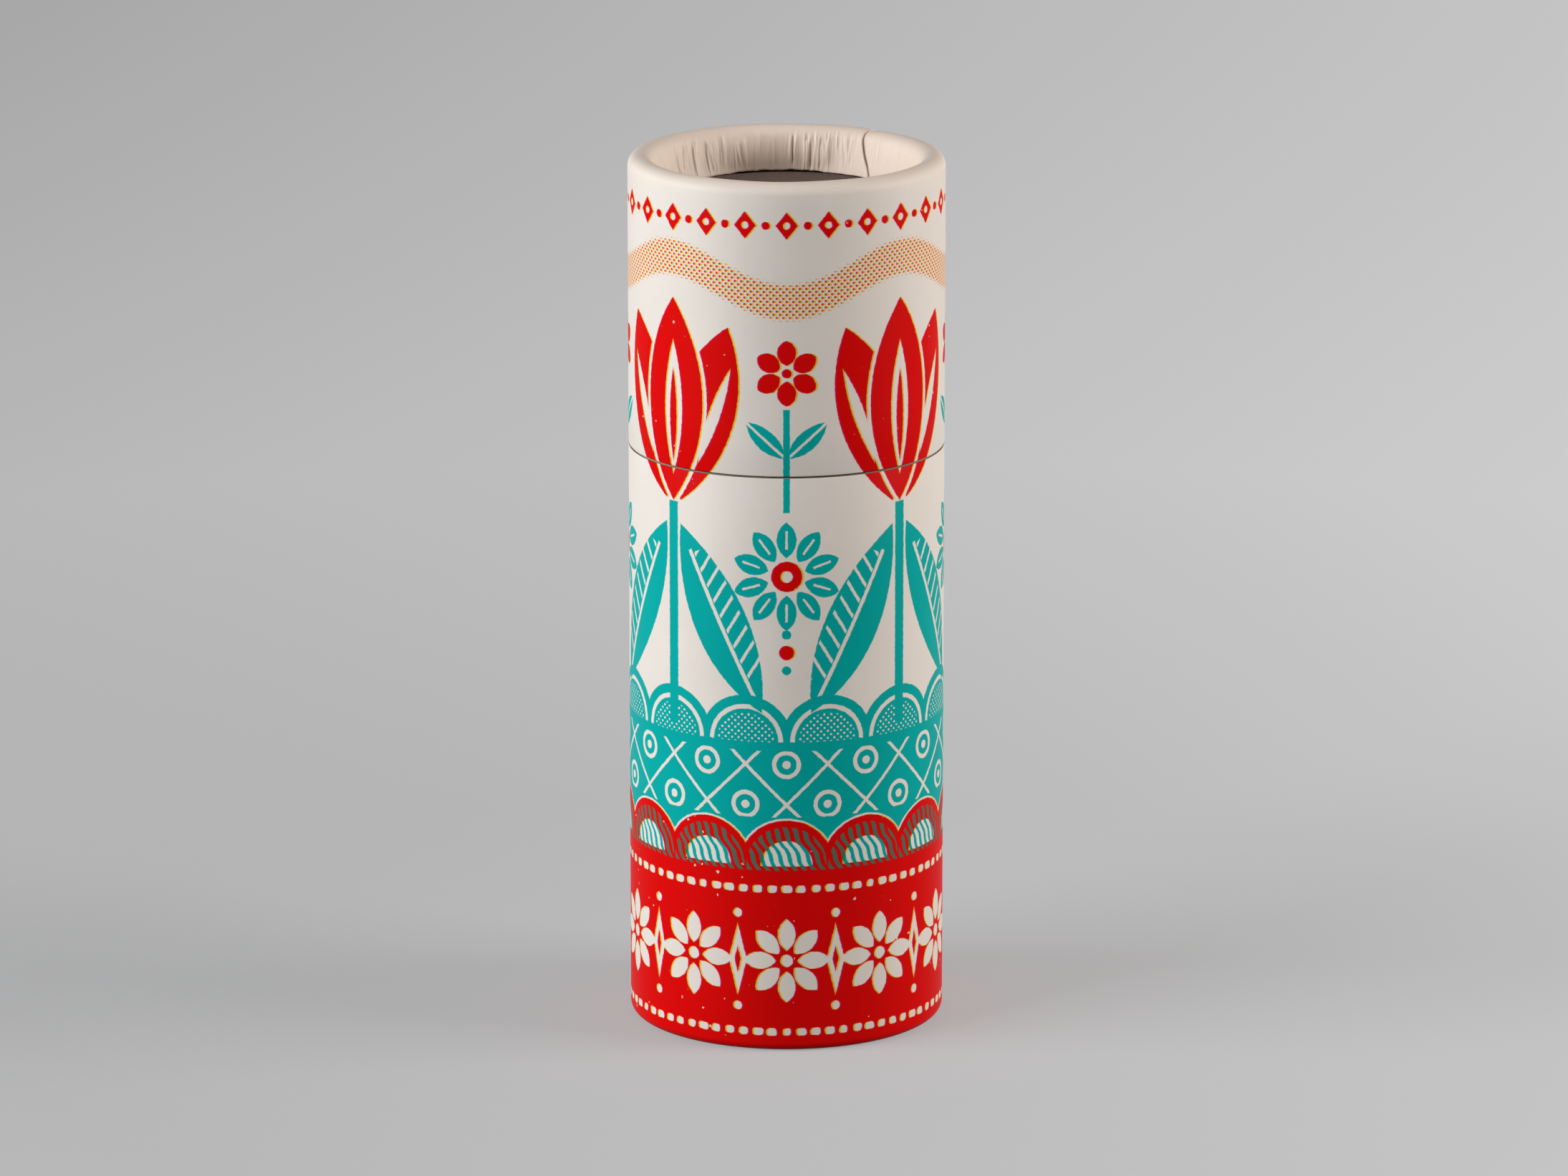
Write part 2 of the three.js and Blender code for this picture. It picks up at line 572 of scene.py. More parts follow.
@dataclass(frozen=True)
class LatticeField:
    """The teal ground under the flowers: a scalloped top edge over a lattice with eyes in it."""

    pitch: float
    top: float = 40.6
    crown: float = 6.0
    arc: Pair = (4.5, 0.28)
    line: float = 0.28
    eye: Pair = (2.2, 0.38)
    pupil: float = 0.75
    lattice_top: float = 39.4
    lattice_bottom: float = 30.8
    lattice_shift: float = 1.0
    stipple: float = 0.19
    stipples: int = 12
    stipple_room: float = 3.7

    def shape(self, at: Point) -> Signal:
        """The teal of the field.

        Args:
            at: A place on the sheet.

        Returns:
            The shape.
        """
        top = at.raised(self.top)
        crown = top.between(self.pitch)
        dots = at.diagonal().gridded(self.pitch / self.stipples).spot(self.stipple)
        carved_crown = crown.ring(*self.arc).least(dots.most(crown.spot(self.stipple_room))).most(-top.y)
        lattice = at.raised(self.lattice_shift).diagonal()
        crossing = lattice.gridded(self.pitch)
        lines = abs(crossing.x).least(abs(crossing.y)) - self.line
        opening = lattice.moved(-self.pitch / 2, -self.pitch / 2).gridded(self.pitch)
        eyes = opening.ring(*self.eye).least(opening.spot(self.pupil))
        carved = lines.least(eyes).most(at.y - self.lattice_top).most(self.lattice_bottom - at.y)
        return top.y.least(crown.spot(self.crown)).without(carved).without(carved_crown)


@dataclass(frozen=True)
class HatchedScallops:
    """The row of red half rounds over the band, hatched in teal, each with a pale window."""

    pitch: float
    height: float = 24.4
    radius: float = 6.0
    window: float = 3.3
    hatch_slope: Pair = (0.9, 0.44)
    hatch_pitch: float = 1.05
    hatch_width: float = 0.25
    wave: Pair = (2.1, 0.14)
    margin: float = 0.9

    def round(self, at: Point) -> Signal:
        """The outline of the half rounds, as whole rounds."""
        return at.raised(self.height).every(self.pitch).spot(self.radius)

    def red(self, at: Point) -> Signal:
        """The half rounds without their windows."""
        cell = at.raised(self.height).every(self.pitch)
        return self.round(at).without(cell.spot(self.window).most(-cell.y))

    def hatch(self, at: Point, bottom: float) -> Signal:
        """The wavy lines that are overprinted in teal.

        Args:
            at: A place on the sheet.
            bottom: The height at which they end.

        Returns:
            The shape.
        """
        slant = weighted((at.x, at.y), self.hatch_slope)
        wavy = slant + (at.y * self.wave[0]).sine() * self.wave[1]
        lines = abs(wavy.wrapped(self.hatch_pitch)) - self.hatch_width
        return lines.most(self.round(at) + self.margin).most(bottom - at.y)


@dataclass(frozen=True)
class DashedBand:
    """The red band round the foot, with a white dashed line along each edge and flowers between them."""

    turn: float
    flowers: int = 10
    dashes: int = 68
    top: float = 23.6
    middle: float = 12.0
    dash_rise: float = 9.4
    dash: Pair = (0.62, 0.48)
    dash_corner: float = 0.36
    dash_uneven: tuple[tuple[int, float], ...] = ((17, 0.08), (29, 0.07))
    flower: Rosette = Rosette(petals=8, inner=1.35, outer=5.5, half_width=1.12)
    heart: float = 0.8
    lozenge: Pair = (1.2, 4.7)
    lozenge_eye: Pair = (0.42, 1.8)
    dot: float = 0.58
    dot_rise: float = 6.1

    def shape(self, at: Point) -> Signal:
        """The red of the band.

        Args:
            at: A place on the sheet.

        Returns:
            The shape.
        """
        rise = at.raised(self.middle)
        folded = Point(at.x, abs(rise.y))
        pitch = self.turn / self.flowers
        half_width: Operand = self.dash[0]
        for waves, swing in self.dash_uneven:
            phase = (rise.x + rise.y) * (math.tau * waves / self.turn)
            half_width = phase.sine() * swing + half_width
        dash = folded.every(self.turn / self.dashes).raised(self.dash_rise)
        dashes = dash.pebble(half_width, self.dash[1], self.dash_corner)
        bloom = rise.every(pitch)
        flowers = self.flower.shape(bloom).least(bloom.spot(self.heart))
        middle = rise.between(pitch)
        lozenges = middle.lozenge(*self.lozenge).without(middle.lozenge(*self.lozenge_eye))
        dots = folded.between(pitch).raised(self.dot_rise).spot(self.dot)
        return (at.y - self.top).without(dashes.least(flowers).least(lozenges).least(dots))


@dataclass(frozen=True)
class Plates(ABC):
    """The printing plates of one wrap, as the shapes that each lays in ink."""

    turn: float
    tulips: int = 4

    @property
    def pitch(self) -> float:
        """The distance from one tulip to the next."""
        return self.turn / self.tulips

    @abstractmethod
    def red(self, at: Point) -> Signal:
        """What is printed in red."""

    @abstractmethod
    def teal(self, at: Point) -> Signal:
        """What is printed in teal."""

    def tint(self, at: Point) -> Union[Signal, None]:
        """What is printed in dots, if anything is."""
        return None


@dataclass(frozen=True)
class LidPlates(Plates):
    """The lid's print: the rim row, the ribbon of dots, the upper tulips and the posies."""

    lozenges: int = 24

    def red(self, at: Point) -> Signal:
        """What is printed in red."""
        row = RimRow(self.turn / self.lozenges).shape(at).least(Tulip().shape(at.between(self.pitch)))
        return row.least(Posy().flower(at.every(self.pitch)))

    def teal(self, at: Point) -> Signal:
        """What is printed in teal."""
        return Posy().sprig(at.every(self.pitch))

    def tint(self, at: Point) -> Signal:
        """What is printed in dots."""
        return Festoon(self.pitch).shape(at)


@dataclass(frozen=True)
class BasePlates(Plates):
    """The base's print: the tulips' feet, the daisies, the lattice field, the scallops and the band."""

    scallops: int = 12
    trap: float = 0.25

    @property
    def border(self) -> HatchedScallops:
        """The half rounds over the band."""
        return HatchedScallops(self.turn / self.scallops)

    @property
    def band(self) -> DashedBand:
        """The band round the foot."""
        return DashedBand(self.turn)

    def red(self, at: Point) -> Signal:
        """What is printed in red."""
        border = self.border.red(at).most(self.band.top - 2 * self.trap - at.y).least(self.band.shape(at))
        return Tulip().shape(at.between(self.pitch)).least(Daisy().red(at.every(self.pitch))).least(border)

    def teal(self, at: Point) -> Signal:
        """What is printed in teal.

        Args:
            at: A place on the sheet.

        Returns:
            The shape.
        """
        flower = at.every(self.pitch)
        daisy = Daisy().teal(flower).least(Posy().stalk(flower))
        ground = LatticeField(self.turn / self.scallops).shape(at)
        ground = ground.most(self.trap - self.border.round(at)).most(self.band.top - at.y)
        hatch = self.border.hatch(at, self.band.top + self.trap)
        return LeafPair().shape(at.between(self.pitch)).least(daisy).least(ground).least(hatch)


# Finishes


class Surface(NodeTree):
    """The material of one finish while it is built, with short ways to add the nodes that finishes share."""

    def __init__(self, name: str, roughness: float, place: Place) -> None:
        """Makes the material with its shader.

        Args:
            name: The finish's name.
            roughness: How rough it is, where no node says otherwise.
            place: What its patterns are laid out on.
        """
        self.material = bpy.data.materials.new(name)
        self.material.use_nodes = True
        super().__init__(self.material.node_tree)
        self.shader = self.tree.nodes["Principled BSDF"].inputs
        self.shader["Roughness"].default_value = roughness
        if place is Place.OBJECT:
            self.point = self.add("ShaderNodeTexCoord", {})[place.value]
        elif place is Place.PRINT:
            self.point = self.add("ShaderNodeUVMap", {}, uv_map=place.value)["UV"]
        else:
            self.point = self.add("ShaderNodeAttribute", {}, attribute_name=place.value)["Vector"]

    def stretched(self, scale: Stretch) -> Socket:
        """The point that patterns read, with each axis scaled if a scale is given."""
        mapping = {"Vector": self.point, "Scale": scale}
        return self.add("ShaderNodeMapping", mapping)["Vector"] if scale else self.point

    def axes(self) -> list[Signal]:
        """The point's three coordinates."""
        return self.signals(self.add("ShaderNodeSeparateXYZ", {"Vector": self.point}))

    def noise(self, scale: float, octaves: float, stretch: Stretch = None) -> Signal:
        """The value of a noise alone."""
        return self.signals(self.clouds(self.stretched(stretch), scale, octaves))[0]

    def cells(self, scale: float, stretch: Stretch = None) -> tuple[Signal, Signal]:
        """Scattered grains.

        Args:
            scale: Grains to each unit of the point.
            stretch: How the point is stretched.

        Returns:
            The distance to the nearest grain, in the grains' own scale, and that grain's random value.
        """
        grains = self.add("ShaderNodeTexVoronoi", {"Vector": self.stretched(stretch), "Scale": scale})
        chances = self.add("ShaderNodeSeparateColor", {"Color": grains["Color"]})
        return Signal(self.tree, grains["Distance"]), Signal(self.tree, chances[0])

    def mixed(self, factor: Signal, first: Paint, second: Paint, blend: str = "MIX") -> Socket:
        """Mixes two colours.

        Args:
            factor: How much of the second is used.
            first: A plain colour or a socket.
            second: A plain colour or a socket.
            blend: Blender's name for the way of mixing.

        Returns:
            The mixed colour's socket.
        """
        inputs: dict[str, Any] = {"Factor": factor}
        for label, colour in (("A", first), ("B", second)):
            inputs[label] = colour if isinstance(colour, Socket) else (*colour, 1.0)
        outputs = self.add("ShaderNodeMix", inputs, data_type="RGBA", blend_type=blend)
        return next(output for output in outputs if output.enabled)

    def feed(self, label: str, value: Union[Signal, Socket]) -> None:
        """Sends a value to one of the shader's inputs."""
        self.tree.links.new(value.socket if isinstance(value, Signal) else value, self.shader[label])

    def embossed(self, height: Signal, depth: float) -> None:
        """Sends a relief from 0 to 1 to the shader, where 1 stands for a depth in metres."""
        bump = self.add("ShaderNodeBump", {"Height": height, "Distance": depth, "Strength": 1.0})
        self.feed("Normal", bump[0])


@dataclass(frozen=True, kw_only=True)
class Finish(ABC):
    """A finish. Its noises are given as a scale and a number of octaves."""

    name: str
    roughness: float
    place: Place = Place.OBJECT

    def material(self) -> Material:
        """Builds the finish.

        Returns:
            The material.
        """
        surface = Surface(self.name, self.roughness, self.place)
        self.paint(surface)
        return surface.material

    @abstractmethod
    def paint(self, surface: Surface) -> None:
        """Adds the finish's own nodes."""


@dataclass(frozen=True, kw_only=True)
class PrintedPaper(Finish):
    """Satin paper with a letterpress print: three inks that overprint, a little out of register.

    The flange is given as the heights on the print where it starts and where it is reached.
    Painted light and shade lie over the print: the turned-in paper is brightened, painted shade falls on the
    rolled rim and low in the flange, and a painted shadow runs round the foot.
    """

    plates: Plates
    flange: Pair
    place: Place = Place.PRINT
    roughness: float = 0.5
    dots_round: int = 154
    # Cut edges: the paper's grey-brown core, made dark enough to be partly painted shade in the gap at the
    # seam and at the flange's torn end.
    core: Colour = (0.30, 0.24, 0.19)
    paper: Colour = (0.80, 0.745, 0.69)
    magenta: Colour = (0.90, 0.004, 0.10)
    yellow: Colour = (0.98, 0.75, 0.03)
    teal: Colour = (0.001, 0.53, 0.55)
    overprint: Colour = (0.085, 0.15, 0.105)
    shade: Colour = (0.93, 0.92, 0.90)
    mottle: Pair = (0.16, 3.0)
    slip: float = 0.22
    edge: float = 0.05
    wobble: float = 0.2
    wobble_noise: Pair = (1.9, 2.0)
    red_dot: float = 0.155
    yellow_dot: float = 0.19
    tint_fade: float = 0.8
    speck_scale: float = 0.9
    speck_share: float = 0.6
    speck_size: float = 0.55
    speck_cover: float = 0.15
    speck_edge: float = 0.03
    ragged: Pair = (5.5, 1.0)
    ragged_range: Pair = (2.4, -0.3)
    gathered: Pair = (0.11, 1.0)
    gathered_range: Pair = (0.42, 0.62)
    ink_gloss: float = 0.1
    specular: float = 0.22
    ink_specular: float = 0.03
    # Painted light: brightens and warms the paper near the rolled rim, over it and into the flange.
    painted_light_turned_in: Colour = (1.17, 1.07, 1.0)
    turned_reach: float = 1.2
    # Painted shade: a darker band over the rolled rim, just before the flange starts.
    painted_rim_shade: Colour = (0.93, 0.90, 0.88)
    painted_rim_shade_reach: Pair = (0.5, 0.25)
    # Painted shade low in the flange, strongest at the back and fading towards the sides.
    painted_flange_shade: Colour = (0.62, 0.59, 0.57)
    painted_flange_shade_middle: float = 65.6
    painted_flange_shade_span: Pair = (12.0, 4.0)
    # Painted shadow: a dark line round the lower half of the foot's rounded edge.
    painted_foot_shadow: Colour = (0.36, 0.32, 0.32)
    painted_foot_shadow_start: Pair = (0.9, -0.4)
    painted_foot_shadow_end: Pair = (-2.0, -1.0)
    fibres: Pair = (2.6, 3.0)
    fibre_share: float = 0.11
    creases: Pair = (1.0, 2.0)
    crease_stretch: Triple = (2.6, 0.16, 1.0)
    relief: float = 0.12 * MM

    def paint(self, surface: Surface) -> None:
        """Adds the paper, the print, the painted light and shade, and the fibres.

        Args:
            surface: The material.
        """
        across, up, _ = surface.axes()
        at = Point(across, up)
        red, yellow, teal = self.inks(surface, at)
        shaded = tuple(paper * shade for paper, shade in zip(self.paper, self.shade))
        colour = surface.mixed(surface.noise(*self.mottle), self.paper, shaded)
        for cover, ink in ((red, self.magenta), (yellow, self.yellow), (teal, self.teal)):
            colour = surface.mixed(cover, colour, ink, "MULTIPLY")
        colour = surface.mixed(red * teal, colour, self.overprint)
        # Painted light and shade multiply the printed colour.
        for cover, tint in self.painted_light_and_shade(at):
            colour = surface.mixed(cover, colour, tint, "MULTIPLY")
        # The cut edges take the core colour, which is partly painted shade.
        surface.feed("Base Color", surface.mixed(up.eased(*CUT_EDGE), colour, self.core))
        ink = red.most(teal)
        surface.feed("Roughness", ink.scaled(-self.ink_gloss, self.roughness))
        surface.feed("Specular IOR Level", ink.scaled(self.ink_specular - self.specular, self.specular))
        fibres = surface.noise(*self.fibres) * self.fibre_share
        creases = surface.noise(*self.creases, self.crease_stretch)
        surface.embossed(fibres + creases * up.eased(*self.flange), self.relief)

    def inks(self, surface: Surface, at: Point) -> tuple[Signal, Signal, Signal]:
        """Prints the sheet.

        Args:
            surface: The material.
            at: A place on the sheet.

        Returns:
            The cover of the red plate's two inks, magenta and yellow, and of teal.
        """
        shifted = Point(at.x - self.slip, at.y)
        red_plate = self.plate("red", self.plates.red)
        bare = self.specks(surface)
        red = self.dotted(self.pulled(surface, red_plate, at), at, self.red_dot) * bare
        yellow = self.dotted(self.pulled(surface, red_plate, shifted), shifted, self.yellow_dot) * bare
        return red, yellow, self.pulled(surface, self.plate("teal", self.plates.teal), at)

    def painted_light_and_shade(self, at: Point) -> list[tuple[Signal, Colour]]:
        """Painted light and shade: the turned-in paper brightened and warmed, painted shade on the rolled rim
        and low in the flange, and a painted shadow round the foot.

        Args:
            at: A place on the sheet.

        Returns:
            Where each change lies, and what it multiplies the colour by.
        """
        start, full = self.flange
        reach = full - start
        up = at.y
        # Painted shade over the rolled rim.
        painted_rim_shade = up.eased(start - reach * self.painted_rim_shade_reach[0], start)
        painted_rim_shade = painted_rim_shade * up.eased(full, start + reach * self.painted_rim_shade_reach[1])
        # Painted shade low in the flange, strongest at the back.
        away = abs((at.x - self.painted_flange_shade_middle).wrapped(self.plates.turn))
        return [
            (up.eased(start - reach * self.turned_reach, full), self.painted_light_turned_in),
            (painted_rim_shade, self.painted_rim_shade),
            (up.eased(full, full + reach) * away.eased(*self.painted_flange_shade_span), self.painted_flange_shade),
            (up.eased(*self.painted_foot_shadow_start) * up.eased(*self.painted_foot_shadow_end), self.painted_foot_shadow),
        ]

    def plate(self, ink: str, draw: Callable[[Point], Signal]) -> bpy.types.NodeTree:
        """Makes a node group that prints one plate, with the uneven edges of a hand-cut block.

        Args:
            ink: The ink's name.
            draw: What gives the plate's shape from a place on the sheet.

        Returns:
            The group, from a place in millimetres to the ink's cover.
        """
        kinds = {"Across": FLOAT_SOCKET, "Up": FLOAT_SOCKET}
        group = NodeGroup(f"{self.name}_{ink}_plate", "ShaderNodeTree", kinds, ("Ink", FLOAT_SOCKET))
        across, up = group.signals(group.entry[label] for label in kinds)
        point = group.add("ShaderNodeCombineXYZ", {"X": across, "Y": up})[0]
        colour = group.clouds(point, *self.wobble_noise)[1]
        drifts = group.signals(group.add("ShaderNodeSeparateColor", {"Color": colour}))
        side, rise, _ = (drift.scaled(self.wobble, -self.wobble / 2) for drift in drifts[:3])
        group.close(draw(Point(across + side, up + rise)).inked(self.edge).socket)
        return group.tree

    def pulled(self, surface: Surface, plate: bpy.types.NodeTree, at: Point) -> Signal:
        """The ink that a plate leaves at a place on the sheet."""
        outputs = surface.add("ShaderNodeGroup", {"Across": at.x, "Up": at.y}, node_tree=plate)
        return Signal(surface.tree, outputs["Ink"])

    def dotted(self, ink: Signal, at: Point, dot: float) -> Signal:
        """Adds the tint's dots to a plate's ink.

        Args:
            ink: The plate's solid ink.
            at: A place on the sheet.
            dot: The radius of a full dot.

        Returns:
            The ink with the dots, which shrink towards the tint's edge.
        """
        tint = self.plates.tint(at)
        if tint is None:
            return ink
        pitch = self.plates.turn / (self.dots_round * math.sqrt(2))
        radius = tint.eased(0.0, -self.tint_fade) * dot
        shape = at.turned(SQUARE_TURN).gridded(pitch).length() - radius
        return ink.most(shape.inked(self.edge) * tint.inked(self.edge))

    def specks(self, surface: Surface) -> Signal:
        """The share of ink that lies at a place: less in the pinholes, which gather here and there.

        Args:
            surface: The material.

        Returns:
            The share.
        """
        distance, chance = surface.cells(self.speck_scale)
        ragged = surface.noise(*self.ragged).scaled(*self.ragged_range)
        gathered = surface.noise(*self.gathered).eased(*self.gathered_range)
        room = (chance - self.speck_share) * gathered * self.speck_size
        hole = distance - room * ragged
        return hole.eased(-self.speck_edge, self.speck_edge).most(self.speck_cover)


@dataclass(frozen=True, kw_only=True)
class Board(Finish):
    """Rolled or pressed board: fibrous, with a faint spiral where its plies meet."""

    pale: Colour
    dark: Colour
    fibres: Pair = (900.0, 4.0)
    fibre_stretch: Triple = (1.0, 1.0, 0.25)
    fibre_gloss: Pair = (0.12, -0.06)
    clouds: Pair = (120.0, 3.0)
    ply_rise: float = 58.0 * MM
    ply_line: float = 0.4 * MM
    fleck_scale: float = 520.0
    fleck_stretch: Triple = (1.0, 1.0, 0.4)
    fleck_size: Pair = (0.16, 0.08)
    fleck_share: Pair = (0.78, 0.82)
    weights: tuple[float, ...] = (0.45, 0.55, 0.25, 0.4)
    tones: Pair = (0.25, 0.85)
    relief: float = 0.05 * MM

    def paint(self, surface: Surface) -> None:
        """Adds the fibres, the clouds, the ply joint and the flecks.

        Args:
            surface: The material.
        """
        x, y, z = surface.axes()
        fibres = surface.noise(*self.fibres, self.fibre_stretch)
        clouds = surface.noise(*self.clouds)
        spiral = (z - x.math("ARCTAN2", x, y) * (self.ply_rise / math.tau)).wrapped(self.ply_rise)
        joint = abs(spiral).eased(self.ply_line, 0.0)
        distance, chance = surface.cells(self.fleck_scale, self.fleck_stretch)
        fleck = distance.eased(*self.fleck_size) * chance.eased(*self.fleck_share)
        tone = weighted((fibres, clouds, joint, fleck), self.weights).eased(*self.tones)
        surface.feed("Base Color", surface.mixed(tone, self.pale, self.dark))
        surface.feed("Roughness", fibres.scaled(self.fibre_gloss[0], self.roughness + self.fibre_gloss[1]))
        surface.embossed(fibres - joint, self.relief)


@dataclass(frozen=True, kw_only=True)
class StrikingCoat(Finish):
    """The brown striking coat: bound grit with a fine printed screen of dots."""

    name: str = "striking_coat"
    roughness: float = 0.82
    brown: Colour = (0.155, 0.102, 0.086)
    dark: Colour = (0.088, 0.052, 0.042)
    glint: Colour = (0.28, 0.22, 0.19)
    screen: float = 1.1 * MM
    screen_dot: Pair = (0.3 * MM, 0.18 * MM)
    grit: Pair = (2300.0, 3.0)
    grit_gloss: Pair = (0.25, -0.12)
    sparkle_scale: float = 3200.0
    sparkle_size: Pair = (0.3, 0.15)
    sparkle_share: Pair = (0.86, 0.9)
    weights: Pair = (0.8, 0.16)
    tones: Pair = (0.3, 0.85)
    relief: float = 0.08 * MM

    def paint(self, surface: Surface) -> None:
        """Adds the grit, the screen and the glints.

        Args:
            surface: The material.
        """
        x, y, _ = surface.axes()
        dots = Point(x, y).turned(SQUARE_TURN).gridded(self.screen).length().eased(*self.screen_dot)
        grit = surface.noise(*self.grit)
        distance, chance = surface.cells(self.sparkle_scale)
        sparkle = distance.eased(*self.sparkle_size) * chance.eased(*self.sparkle_share)
        tone = weighted((grit, dots), self.weights).eased(*self.tones)
        colour = surface.mixed(tone, self.brown, self.dark)
        surface.feed("Base Color", surface.mixed(sparkle, colour, self.glint))
        surface.feed("Roughness", grit.scaled(self.grit_gloss[0], self.roughness + self.grit_gloss[1]))
        surface.embossed(grit, self.relief)


@dataclass(frozen=True, kw_only=True)
class AspenWood(Finish):
    """Pale split wood with its grain along the stick, waxed darker under the head."""

    name: str = "aspen_wood"
    place: Place = Place.GRAIN
    roughness: float = 0.62
    pale: Colour = (0.78, 0.60, 0.37)
    streak: Colour = (0.56, 0.38, 0.20)
    waxed: Colour = (0.80, 0.70, 0.52)
    bands: Pair = (1.7, 4.0)
    band_stretch: Triple = (1.0, 1.0, 0.03)
    pores: Pair = (7.5, 2.0)
    pore_stretch: Triple = (1.0, 1.0, 0.09)
    weights: Pair = (0.75, 0.4)
    tones: Pair = (0.38, 0.8)
    wax_reach: Pair = (72.0, 82.0)
    wax_drift: float = 3.0
    wax_gloss: float = 0.16
    relief: float = 0.06 * MM

    def paint(self, surface: Surface) -> None:
        """Adds the grain and the wax.

        Args:
            surface: The material.
        """
        _, _, along = surface.axes()
        bands = surface.noise(*self.bands, self.band_stretch)
        pores = surface.noise(*self.pores, self.pore_stretch)
        tone = weighted((bands, pores), self.weights).eased(*self.tones)
        wax = (along + bands * self.wax_drift).eased(*self.wax_reach)
        colour = surface.mixed(tone, self.pale, self.streak)
        surface.feed("Base Color", surface.mixed(wax, colour, self.waxed, "MULTIPLY"))
        surface.feed("Roughness", wax.scaled(-self.wax_gloss, self.roughness))
        surface.embossed(pores, self.relief)


@dataclass(frozen=True, kw_only=True)
class MatchCompound(Finish):
    """The dipped red head: a crust of fine grains, a little paler where they stand out."""

    name: str = "match_compound"
    roughness: float = 0.66
    red: Colour = (0.36, 0.016, 0.014)
    deep: Colour = (0.17, 0.008, 0.007)
    dust: Colour = (0.55, 0.12, 0.09)
    crust: Pair = (1900.0, 3.0)
    crust_gloss: Pair = (0.2, -0.1)
    clouds: Pair = (420.0, 2.0)
    grain_scale: float = 2600.0
    grain_size: Pair = (0.35, 0.15)
    grain_share: Pair = (0.8, 0.86)
    weights: Pair = (0.6, 0.5)
    tones: Pair = (0.35, 0.75)
    relief: float = 0.12 * MM

    def paint(self, surface: Surface) -> None:
        """Adds the crust and its grains.

        Args:
            surface: The material.
        """
        crust = surface.noise(*self.crust)
        clouds = surface.noise(*self.clouds)
        distance, chance = surface.cells(self.grain_scale)
        grain = distance.eased(*self.grain_size) * chance.eased(*self.grain_share)
        tone = weighted((crust, clouds), self.weights).eased(*self.tones)
        colour = surface.mixed(tone, self.deep, self.red)
        surface.feed("Base Color", surface.mixed(grain, colour, self.dust))
        surface.feed("Roughness", crust.scaled(self.crust_gloss[0], self.roughness + self.crust_gloss[1]))
        surface.embossed(crust, self.relief)


@dataclass(frozen=True, kw_only=True)
class StageCard(Finish):
    """The plain card of the studio: paler up its wall, darker at its sides, with a glow that only shows."""

    name: str = "pale_card"
    roughness: float = 0.95
    specular: float = 0.1
    floor: Colour = (0.275, 0.28, 0.29)
    wall: Colour = (0.84, 0.845, 0.86)
    wall_height: float = 1.2
    side: Colour = (0.2, 0.2, 0.2)
    side_reach: Pair = (0.25, 0.55)
    near_glow: float = 0.28
    far_glow: float = 0.09
    glow_reach: Pair = (0.1, 0.3)
    glow_tilt: float = 0.5
    glow_span: float = 0.16

    def paint(self, surface: Surface) -> None:
        """Adds the card's colours and its glow.

        Args:
            surface: The material.
        """
        surface.shader["Specular IOR Level"].default_value = self.specular
        surface.shader["Emission Color"].default_value = (1.0, 1.0, 1.0, 1.0)
        x, y, height = surface.axes()
        card = surface.mixed(abs(x).eased(*self.side_reach), self.floor, self.side, "MULTIPLY")
        surface.feed("Base Color", surface.mixed(height.eased(0.0, self.wall_height), card, self.wall))
        rays = surface.add("ShaderNodeLightPath", {})
        kinds = ("Is Camera Ray", "Is Glossy Ray", "Is Transmission Ray")
        camera, glossy, through = surface.signals(rays[kind] for kind in kinds)
        tilt = x.most(-self.glow_span).least(self.glow_span) * self.glow_tilt
        glow = Point(x, y).length().eased(*self.glow_reach) * self.far_glow + tilt + self.near_glow
        surface.feed("Emission Strength", glow * camera.most(glossy).most(through))


# Meshes


def smoothstep(low: float, high: float, value: Array) -> Array:
    """Eases from 0 at low to 1 at high."""
    share = np.clip((value - low) / (high - low), 0.0, 1.0)
    return share * share * (3.0 - 2.0 * share)


def shown(start: float, end: float, ease: float, value: Array) -> Array:
    """Eases in at the start of a stretch and out after its end."""
    return smoothstep(start, start + ease, value) * smoothstep(end + ease, end, value)


def half_turned(angle: Array) -> Array:
    """The same angles between minus half a turn and plus half."""
    return (angle + math.pi) % math.tau - math.pi


def cells(grid: Array) -> Array:
    """The four corners of each cell of a grid of numbers or places, in order round the cell."""
    corners = (grid[:-1, :-1], grid[:-1, 1:], grid[1:, 1:], grid[1:, :-1])
    return np.stack(corners, axis=2).reshape(-1, 4, *grid.shape[2:])


def spread(sideways: Array, upwards: Array) -> Array:
    """A grid of places from their two coordinates."""
    return np.stack(np.meshgrid(sideways, upwards), axis=-1)


def numbered(rings: Array, joined_rows: int = 0) -> Array:
    """The numbers of points in rings, with the first column again at the end, and the first row if joined."""
    numbers = np.arange(rings.shape[0] * rings.shape[1]).reshape(rings.shape[:2])
    return np.pad(numbers, ((0, joined_rows), (0, 1)), mode="wrap")


def round_points(radius: Array, angle: Array, height: Array) -> Array:
    """Points about the Z axis, at angles from the front towards +X."""
    radius, angle, height = np.broadcast_arrays(radius, angle, height)
    return np.stack((radius * np.sin(angle), -radius * np.cos(angle), height), axis=-1)


def around(columns: int) -> Array:
    """A row of equal angles round a turn, without the last, which is the first again."""
    return np.linspace(0.0, math.tau, columns, endpoint=False)[None, :]


def vertices(piece: Piece) -> Array:
    """The points of a piece's mesh."""
    return np.array([vertex.co for vertex in piece.data.vertices])


def linked(name: str, data: bpy.types.ID) -> bpy.types.Object:
    """Makes an object and puts it in the scene.

    Args:
        name: Its name.
        data: Its mesh, lamp or camera.

    Returns:
        The object, at the origin.
    """
    made = bpy.data.objects.new(name, data)
    bpy.context.scene.collection.objects.link(made)
    return made


